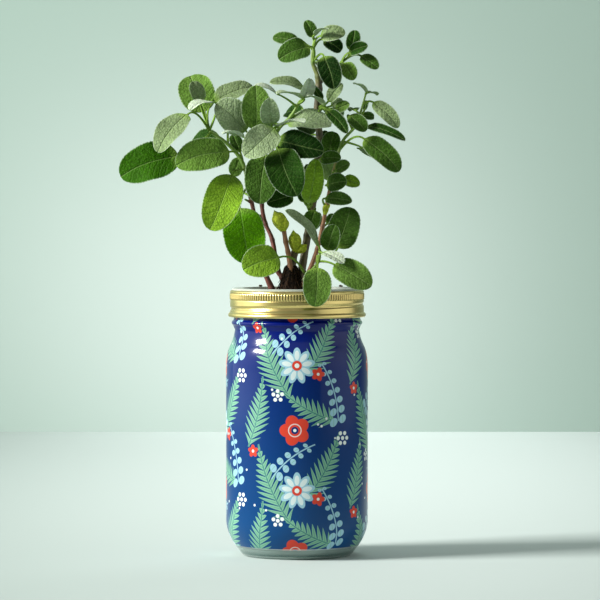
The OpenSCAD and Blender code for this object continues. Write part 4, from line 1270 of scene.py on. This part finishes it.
def leaf_rings(leaves, seed, rows=50, columns=40, stalk_rows=8):
    """Rings of whole leaves. A stalk bends from the stem to the foot of the blade; the blade's
    middle line bows up and its tip drops; its half width follows one smooth swell from foot to
    tip with fine scallops. Across the blade the face rises to its edges, dips at the rib, quilts
    between slanting veins and waves along the edge."""
    rng = np.random.default_rng(seed)
    count = len(leaves)
    *points, width, ways, tones = zip(*leaves)
    stem, base, tip = (np.array(place, float)[:, None] for place in points)
    width = np.array(width, float)[:, None]
    face = np.array([WAYS[way] for way in ways], float)[:, None]
    span = np.linalg.norm(tip - base, axis=-1)
    axis = unit(tip - base)
    up = square_to(face, axis)
    sway, drop, wave, lean = (rng.uniform(-1, 1, (count, 1)) for _ in range(4))
    # Middle line: the stalk's quadratic curve, then the blade's bow with a small sway and drop
    s = np.linspace(0, 1, stalk_rows + 1)[None, :-1]
    pull = base - axis * 0.45 * np.linalg.norm(base - stem, axis=-1, keepdims=True)
    stalk = quadratic(s[..., None], stem, pull, base)
    t = np.linspace(0, 1, rows)[None]
    bow = span * (0.36 * t * (1 - t) - (0.05 + 0.035 * drop) * t ** 3)
    side = np.cross(axis, up)
    blade = base + axis * (span * t)[..., None] + up * bow[..., None]
    blade = blade + side * (span * 0.05 * sway * np.sin(math.pi * t * 1.2) * t)[..., None]
    line = np.concatenate([stalk, blade], axis=1)
    along = unit(np.gradient(line, axis=1))
    up = square_to(np.broadcast_to(up, line.shape), along)
    side = np.cross(along, up)

    def by_ring(on_stalk, on_blade):
        """A number for each ring of each leaf: up the stalk first, then up the blade."""
        return np.concatenate([np.broadcast_to(on_stalk, (count, stalk_rows)),
                               np.broadcast_to(on_blade, (count, rows))], axis=1)[..., None]

    # The rings' half widths and half thicknesses, their way along the blade, and how far each is
    # blade and not stalk, from 0 to 1
    share = np.clip(1 - np.abs(2 * t ** 0.92 - 1) ** 2.3, 0, 1) ** 0.55
    length = span * t
    scallop = 1 + 0.035 * (np.abs(np.sin(math.pi * length / 2.1)) - 0.6) * (share > 0.25)
    half = by_ring(0.85 * (1 - 0.25 * s), np.maximum(width / 2 * share * scallop, 0.62 * (1 - t) ** 2 + 0.12))
    thick = by_ring(0.85 * (1 - 0.4 * s), 0.30 + 0.42 * (1 - t) ** 4)
    run = by_ring(0, length)
    body = by_ring(0, np.clip(t * 6, 0, 1))
    # Across each ring
    angle = TURN * np.arange(columns) / columns
    across = half * np.cos(angle)
    out = np.abs(np.cos(angle))
    phase = 3.1 * wave[..., None] + 2.0 * (np.cos(angle) > 0)
    lift = 0.17 * half * out ** 1.6
    edge_wave = 0.085 * half * out ** 2 * np.sin(run / 3.3 + phase)
    vein_gap = bpy.context.scene.jar_planter_plant.vein_gap
    slant = np.abs(np.sin(math.pi * (run - 0.8 * np.abs(across)) / vein_gap))
    quilt = 0.15 * (slant - 0.55) * np.clip(half / 5, 0, 1) * np.clip(1.25 - out ** 4, 0, 1)
    rib = -0.42 * np.exp(-(across / 0.8) ** 2) * (np.sin(angle) <= 0)
    keel = 0.35 * np.exp(-(across / 0.9) ** 2) * (np.sin(angle) > 0)
    height = body * (lift + edge_wave + quilt + rib) - thick * np.sin(angle) - body * keel
    tilt = 0.13 * lean[..., None] * body
    x, z = across * np.cos(tilt) - height * np.sin(tilt), height * np.cos(tilt) + across * np.sin(tilt)
    rings = line[:, :, None] + side[:, :, None] * x[..., None] + up[:, :, None] * z[..., None]
    leaf = np.stack(np.broadcast_arrays(run, np.abs(across), half - np.abs(across)), -1)
    colour, down = zip(*(TONES[tone] for tone in tones))
    tone = np.array(colour) * rng.uniform(0.88, 1.12, (count, 1))
    return surface(rings, leaf=leaf, stalk=1 - body, tone=tone[:, None, None],
                   down=np.array(down)[:, None, None], under=np.clip(np.sin(angle) * 4, 0, 1) * body)


class JARPLANTER_OT_leaves(bpy.types.Operator):
    """Grow every spray of leaves with stalks, veins, scalloped edges and down"""

    bl_idname = "jarplanter.leaves"
    bl_label = "Leaves"

    def execute(self, context):
        finishes = {slot: sage_leaf(slot) for slot in ("green_leaf", "bright_leaf", "pale_leaf")}
        for seed, (node, leaves) in enumerate(LEAVES.items()):
            slot = LEAF_SLOTS.get(node, "green_leaf")
            build(node + "_blades", [leaf_rings(leaves, 100 + seed)], finishes[slot], "plant", [node])
        return {"FINISHED"}


def bud_rings(place, tilt, size, width, scale):
    """Rings of a bud's core, which is scale 0, or of one of the young leaves clasped round it: the
    core swells and closes to a point; a young leaf is a thin curved shell that covers part of the
    core's turn."""
    t = np.linspace(0, 1, 34)
    swell = width / 2 * np.sin(np.radians(30 + 150 * t ** 1.2))
    if scale == 0:
        rings = turned(np.stack([np.maximum(swell * 0.9, 0.15), size * t * 0.97], 1), 28)[0]
    else:
        turn = TURN * scale / (len(CLASP_REACH) + 1) + 0.4
        reach = CLASP_REACH[scale - 1]
        angle = TURN * np.arange(28) / 28
        half = 1.15 * np.sqrt(np.clip(np.sin(math.pi * np.clip(t, 0.02, 0.985) ** 0.8), 0.01, 1))[:, None]
        aside = half * np.cos(angle)
        core = swell[(t * (len(t) - 1) * min(reach, 1)).astype(int)]
        out = (core[:, None] + 0.12 + 0.55 * t[:, None] ** 3
               - 0.16 * np.sin(angle) - 0.25 * np.exp(-(aside / 0.16) ** 2) * (np.sin(angle) < 0))
        rings = round_axis(out, turn + aside, (size * t * reach)[:, None])
    a, b = (math.radians(part) for part in tilt)
    about_x = np.array([[1, 0, 0], [0, math.cos(a), -math.sin(a)], [0, math.sin(a), math.cos(a)]])
    about_y = np.array([[math.cos(b), 0, math.sin(b)], [0, 1, 0], [-math.sin(b), 0, math.cos(b)]])
    rings = (rings @ (about_y @ about_x).T + place)[None]
    leaf = np.stack(np.broadcast_arrays((size * t)[:, None], 3.0, 3.0), -1)[None]
    tone = np.array(bpy.context.scene.jar_planter_plant.bud_colour) * (1.0 - 0.1 * (scale % 3))
    return surface(rings, leaf=leaf, tone=tone, down=0.1, under=0, stalk=0)


class JARPLANTER_OT_buds(bpy.types.Operator):
    """Set the swollen buds and the young bracts on their stems"""

    bl_idname = "jarplanter.buds"
    bl_label = "Buds"

    def execute(self, context):
        finish = sage_leaf("yellow_green_leaf")
        for node, buds in BUDS.items():
            parts = [bud_rings(*bud, scale) for bud in buds for scale in range(len(CLASP_REACH) + 1)]
            build(node + "_scales", parts, finish, "plant", [node])
        return {"FINISHED"}


# The studio

def flat_board(name, corners, material):
    """A four-cornered board of the studio, in metres."""
    mesh = bpy.data.meshes.new(name)
    mesh.from_pydata(corners, [], [(0, 1, 2, 3)])
    mesh.materials.append(material)
    board = bpy.data.objects.new(name, mesh)
    bpy.context.collection.objects.link(board)
    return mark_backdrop(board)


def soft_lamp(name, place, target, size, power, colour, spread):
    """An area lamp of (width, height) at a place, turned to face a target, in metres and watts;
    spread is the whole angle in degrees that it shines into."""
    data = bpy.data.lights.new(name, "AREA")
    data.shape = "RECTANGLE"
    data.size, data.size_y = size
    data.energy = power
    data.color = colour
    data.spread = math.radians(spread)
    lamp = bpy.data.objects.new(name, data)
    lamp.location = place
    lamp.rotation_euler = (Vector(target) - Vector(place)).to_track_quat("-Z", "Y").to_euler()
    lamp.visible_camera = False
    bpy.context.collection.objects.link(lamp)


def studio_world(props):
    """The even light of the room. What a camera sees past the floor has the backdrop's colour."""
    world = bpy.data.worlds.new("studio_light")
    world.use_nodes = True
    tree = world.node_tree
    light = tree.nodes["Background"]
    light.inputs["Color"].default_value = (0.88, 1.0, 0.94, 1)
    light.inputs["Strength"].default_value = props.room_light
    seen = tree.nodes.new("ShaderNodeBackground")
    seen.inputs["Color"].default_value = (*props.wall_colour, 1)
    ray = tree.nodes.new("ShaderNodeLightPath").outputs["Is Camera Ray"]
    tree.links.new(blend_shaders(tree, ray, light.outputs[0], seen.outputs[0]),
                   tree.nodes["World Output"].inputs["Surface"])
    return world


def long_camera(place, target, lens):
    """A camera at a place, turned to face a target, in metres; its lens is in millimetres."""
    data = bpy.data.cameras.new("camera")
    data.lens, data.sensor_width = lens, 36
    camera = bpy.data.objects.new("camera", data)
    camera.location = place
    camera.rotation_euler = (Vector(target) - camera.location).to_track_quat("-Z", "Y").to_euler()
    bpy.context.collection.objects.link(camera)
    return camera


class JARPLANTER_OT_stage(bpy.types.Operator):
    """Lay the floor and backdrop and set the lamps and the camera"""

    bl_idname = "jarplanter.stage"
    bl_label = "Studio"

    def execute(self, context):
        scene, props = context.scene, context.scene.jar_planter_stage
        floor = stage_surface("studio_floor", props.floor_colour, props.floor_painted_shade,
                              (0.095, 1.75), (0.46, 2.62), False)
        wall = stage_surface("studio_wall", props.wall_colour, props.wall_painted_shade,
                             (-0.05, 0.147), (0.262, 0.219), True)
        back, front, side, top = 1.24, -5.0, 5.0, 2.2
        flat_board("floor", [(-side, front, 0), (side, front, 0), (side, back, 0), (-side, back, 0)], floor)
        flat_board("backdrop", [(-side, back, 0), (side, back, 0), (side, back, top), (-side, back, top)], wall)
        for name, place, target, size, power, share, colour, spread in LAMPS:
            soft_lamp(name, place, target, size, share * getattr(props, power), colour, spread)
        scene.world = studio_world(props)
        scene.view_settings.view_transform = "Standard"
        scene.camera = long_camera((0.002, -2.470, 0.247), (0.002, 0, 0.171), 221.4)
        return {"FINISHED"}


# What a user may change

def colour_prop(name, description, default):
    """A colour that a user may change."""
    return FloatVectorProperty(name=name, description=description, default=default, subtype="COLOR",
                               min=0, max=1)


def number_prop(name, description, default, **limits):
    """A number that a user may change, within its limits."""
    return FloatProperty(name=name, description=description, default=default, **limits)


class JarProps(bpy.types.PropertyGroup):
    """Colours of the glass and of the sleeve's print"""

    glass_colour: colour_prop("Glass", "Tint of the clear glass", (0.56, 0.72, 0.67))
    ground_high: colour_prop("Upper ground", "Ground of the print at the shoulder", tint(0, 18, 102))
    ground_low_and_reflection: colour_prop("Lower ground", "Ground of the print at the foot", tint(0, 66, 118))
    leaf_ink: colour_prop("Leaf ink", "Ink of the printed fronds", tint(122, 176, 146))
    vein_ink: colour_prop("Vein ink", "Ink of the ribs in the fronds", tint(60, 120, 120))
    sky_ink: colour_prop("Sky ink", "Ink of the printed sprigs and daisies", tint(150, 194, 210))
    coral_ink: colour_prop("Coral ink", "Ink of the printed poppies", tint(212, 66, 48))
    white_ink: colour_prop("White ink", "Ink of the printed berries and dots", tint(228, 236, 232))


class BandProps(bpy.types.PropertyGroup):
    """Colour and knurl of the screw band"""

    gold_colour: colour_prop("Gold", "Colour of the lacquered tin", (0.82, 0.64, 0.25))
    ribs: IntProperty(name="Ribs", description="Ribs of the knurl round the band", default=147, min=40,
                      max=200)


class CupProps(bpy.types.PropertyGroup):
    """Colours of the net cup, the wick and the coir"""

    plastic_colour: colour_prop("Plastic", "Colour of the moulded cup", (0.44, 0.48, 0.43))
    felt_colour: colour_prop("Felt", "Colour of the wick", (0.80, 0.78, 0.72))
    coir_dark: colour_prop("Dark coir", "Colour of the wet coir", (0.004, 0.0027, 0.0018))
    coir_light: colour_prop("Light coir", "Colour of dry grains and fibres", (0.085, 0.045, 0.022))


class PlantProps(bpy.types.PropertyGroup):
    """Colours of the stems and buds, and the leaves' veins and down"""

    red_stem: colour_prop("Red stem", "Bark of the left stems", tint(122, 66, 54))
    tan_stem: colour_prop("Tan stem", "Bark of the right stem and the stub", tint(176, 122, 84))
    green_stem: colour_prop("Green stem", "Bark of the tall stem", tint(112, 100, 60))
    bud_colour: colour_prop("Buds", "Colour of the young buds", tint(216, 232, 40))
    stalk_colour: colour_prop("Stalks", "Colour of the leaf stalks and young shoots", tint(126, 160, 66))
    vein_gap: number_prop("Vein gap", "Millimetres from one slanting vein to the next", 4.4, min=2, max=9)
    down: number_prop("Down", "Sheen of the down on the leaves", 0.02, min=0, max=1, subtype="FACTOR")


class StageProps(bpy.types.PropertyGroup):
    """Colours and lamps of the studio"""

    # The middles are the lit colours of a painted pool of light, and the edges are painted shade
    floor_colour: colour_prop("Floor", "Colour of the middle of the floor", (0.87, 0.955, 0.945))
    floor_painted_shade: colour_prop("Floor edge", "Colour of the floor away from its middle", (0.085, 0.138, 0.110))
    wall_colour: colour_prop("Backdrop", "Colour of the middle of the backdrop", (0.62, 0.70, 0.674))
    wall_painted_shade: colour_prop("Backdrop edge", "Colour of the backdrop away from its middle",
                           (0.329, 0.433, 0.383))
    key_power: number_prop("Key lamp", "Power of the lamp on the left, in watts", 125, min=0)
    fill_power: number_prop("Fill lamps", "Power of the top lamp, in watts; the other fill lamps follow it",
                            1.8, min=0)
    room_light: number_prop("Room light", "Strength of the even light of the room", 0.14, min=0)


class JARPLANTER_PT_pieces(bpy.types.Panel):
    """The planter's pieces, with the sizes and colours of each group"""

    bl_idname = "JARPLANTER_PT_pieces"
    bl_label = "Jar Planter"
    bl_space_type = "VIEW_3D"
    bl_region_type = "UI"
    bl_category = "Jar Planter"

    def draw(self, context):
        for group, cls, operators in GROUPS:
            box = self.layout.box()
            for operator in operators:
                box.operator(operator.bl_idname)
            for name in cls.__annotations__:
                box.prop(getattr(context.scene, group), name)


GROUPS = (
    ("jar_planter_stage", StageProps, (JARPLANTER_OT_stage,)),
    ("jar_planter_jar", JarProps, (JARPLANTER_OT_glass, JARPLANTER_OT_sleeve)),
    ("jar_planter_band", BandProps, (JARPLANTER_OT_band,)),
    ("jar_planter_cup", CupProps, (JARPLANTER_OT_cup, JARPLANTER_OT_coir)),
    ("jar_planter_plant", PlantProps, (JARPLANTER_OT_stems, JARPLANTER_OT_buds, JARPLANTER_OT_leaves)),
)


def register():
    for group, cls, operators in GROUPS:
        bpy.utils.register_class(cls)
        setattr(bpy.types.Scene, group, PointerProperty(type=cls))
        for operator in operators:
            bpy.utils.register_class(operator)
    bpy.utils.register_class(JARPLANTER_PT_pieces)


def unregister():
    bpy.utils.unregister_class(JARPLANTER_PT_pieces)
    for group, cls, operators in reversed(GROUPS):
        for operator in operators:
            bpy.utils.unregister_class(operator)
        delattr(bpy.types.Scene, group)
        bpy.utils.unregister_class(cls)


def main():
    """Makes the studio and every piece."""
    register()
    for _, _, operators in GROUPS:
        for operator in operators:
            getattr(bpy.ops.jarplanter, operator.bl_idname.split(".")[1])()


if __name__ == "__main__":
    main()
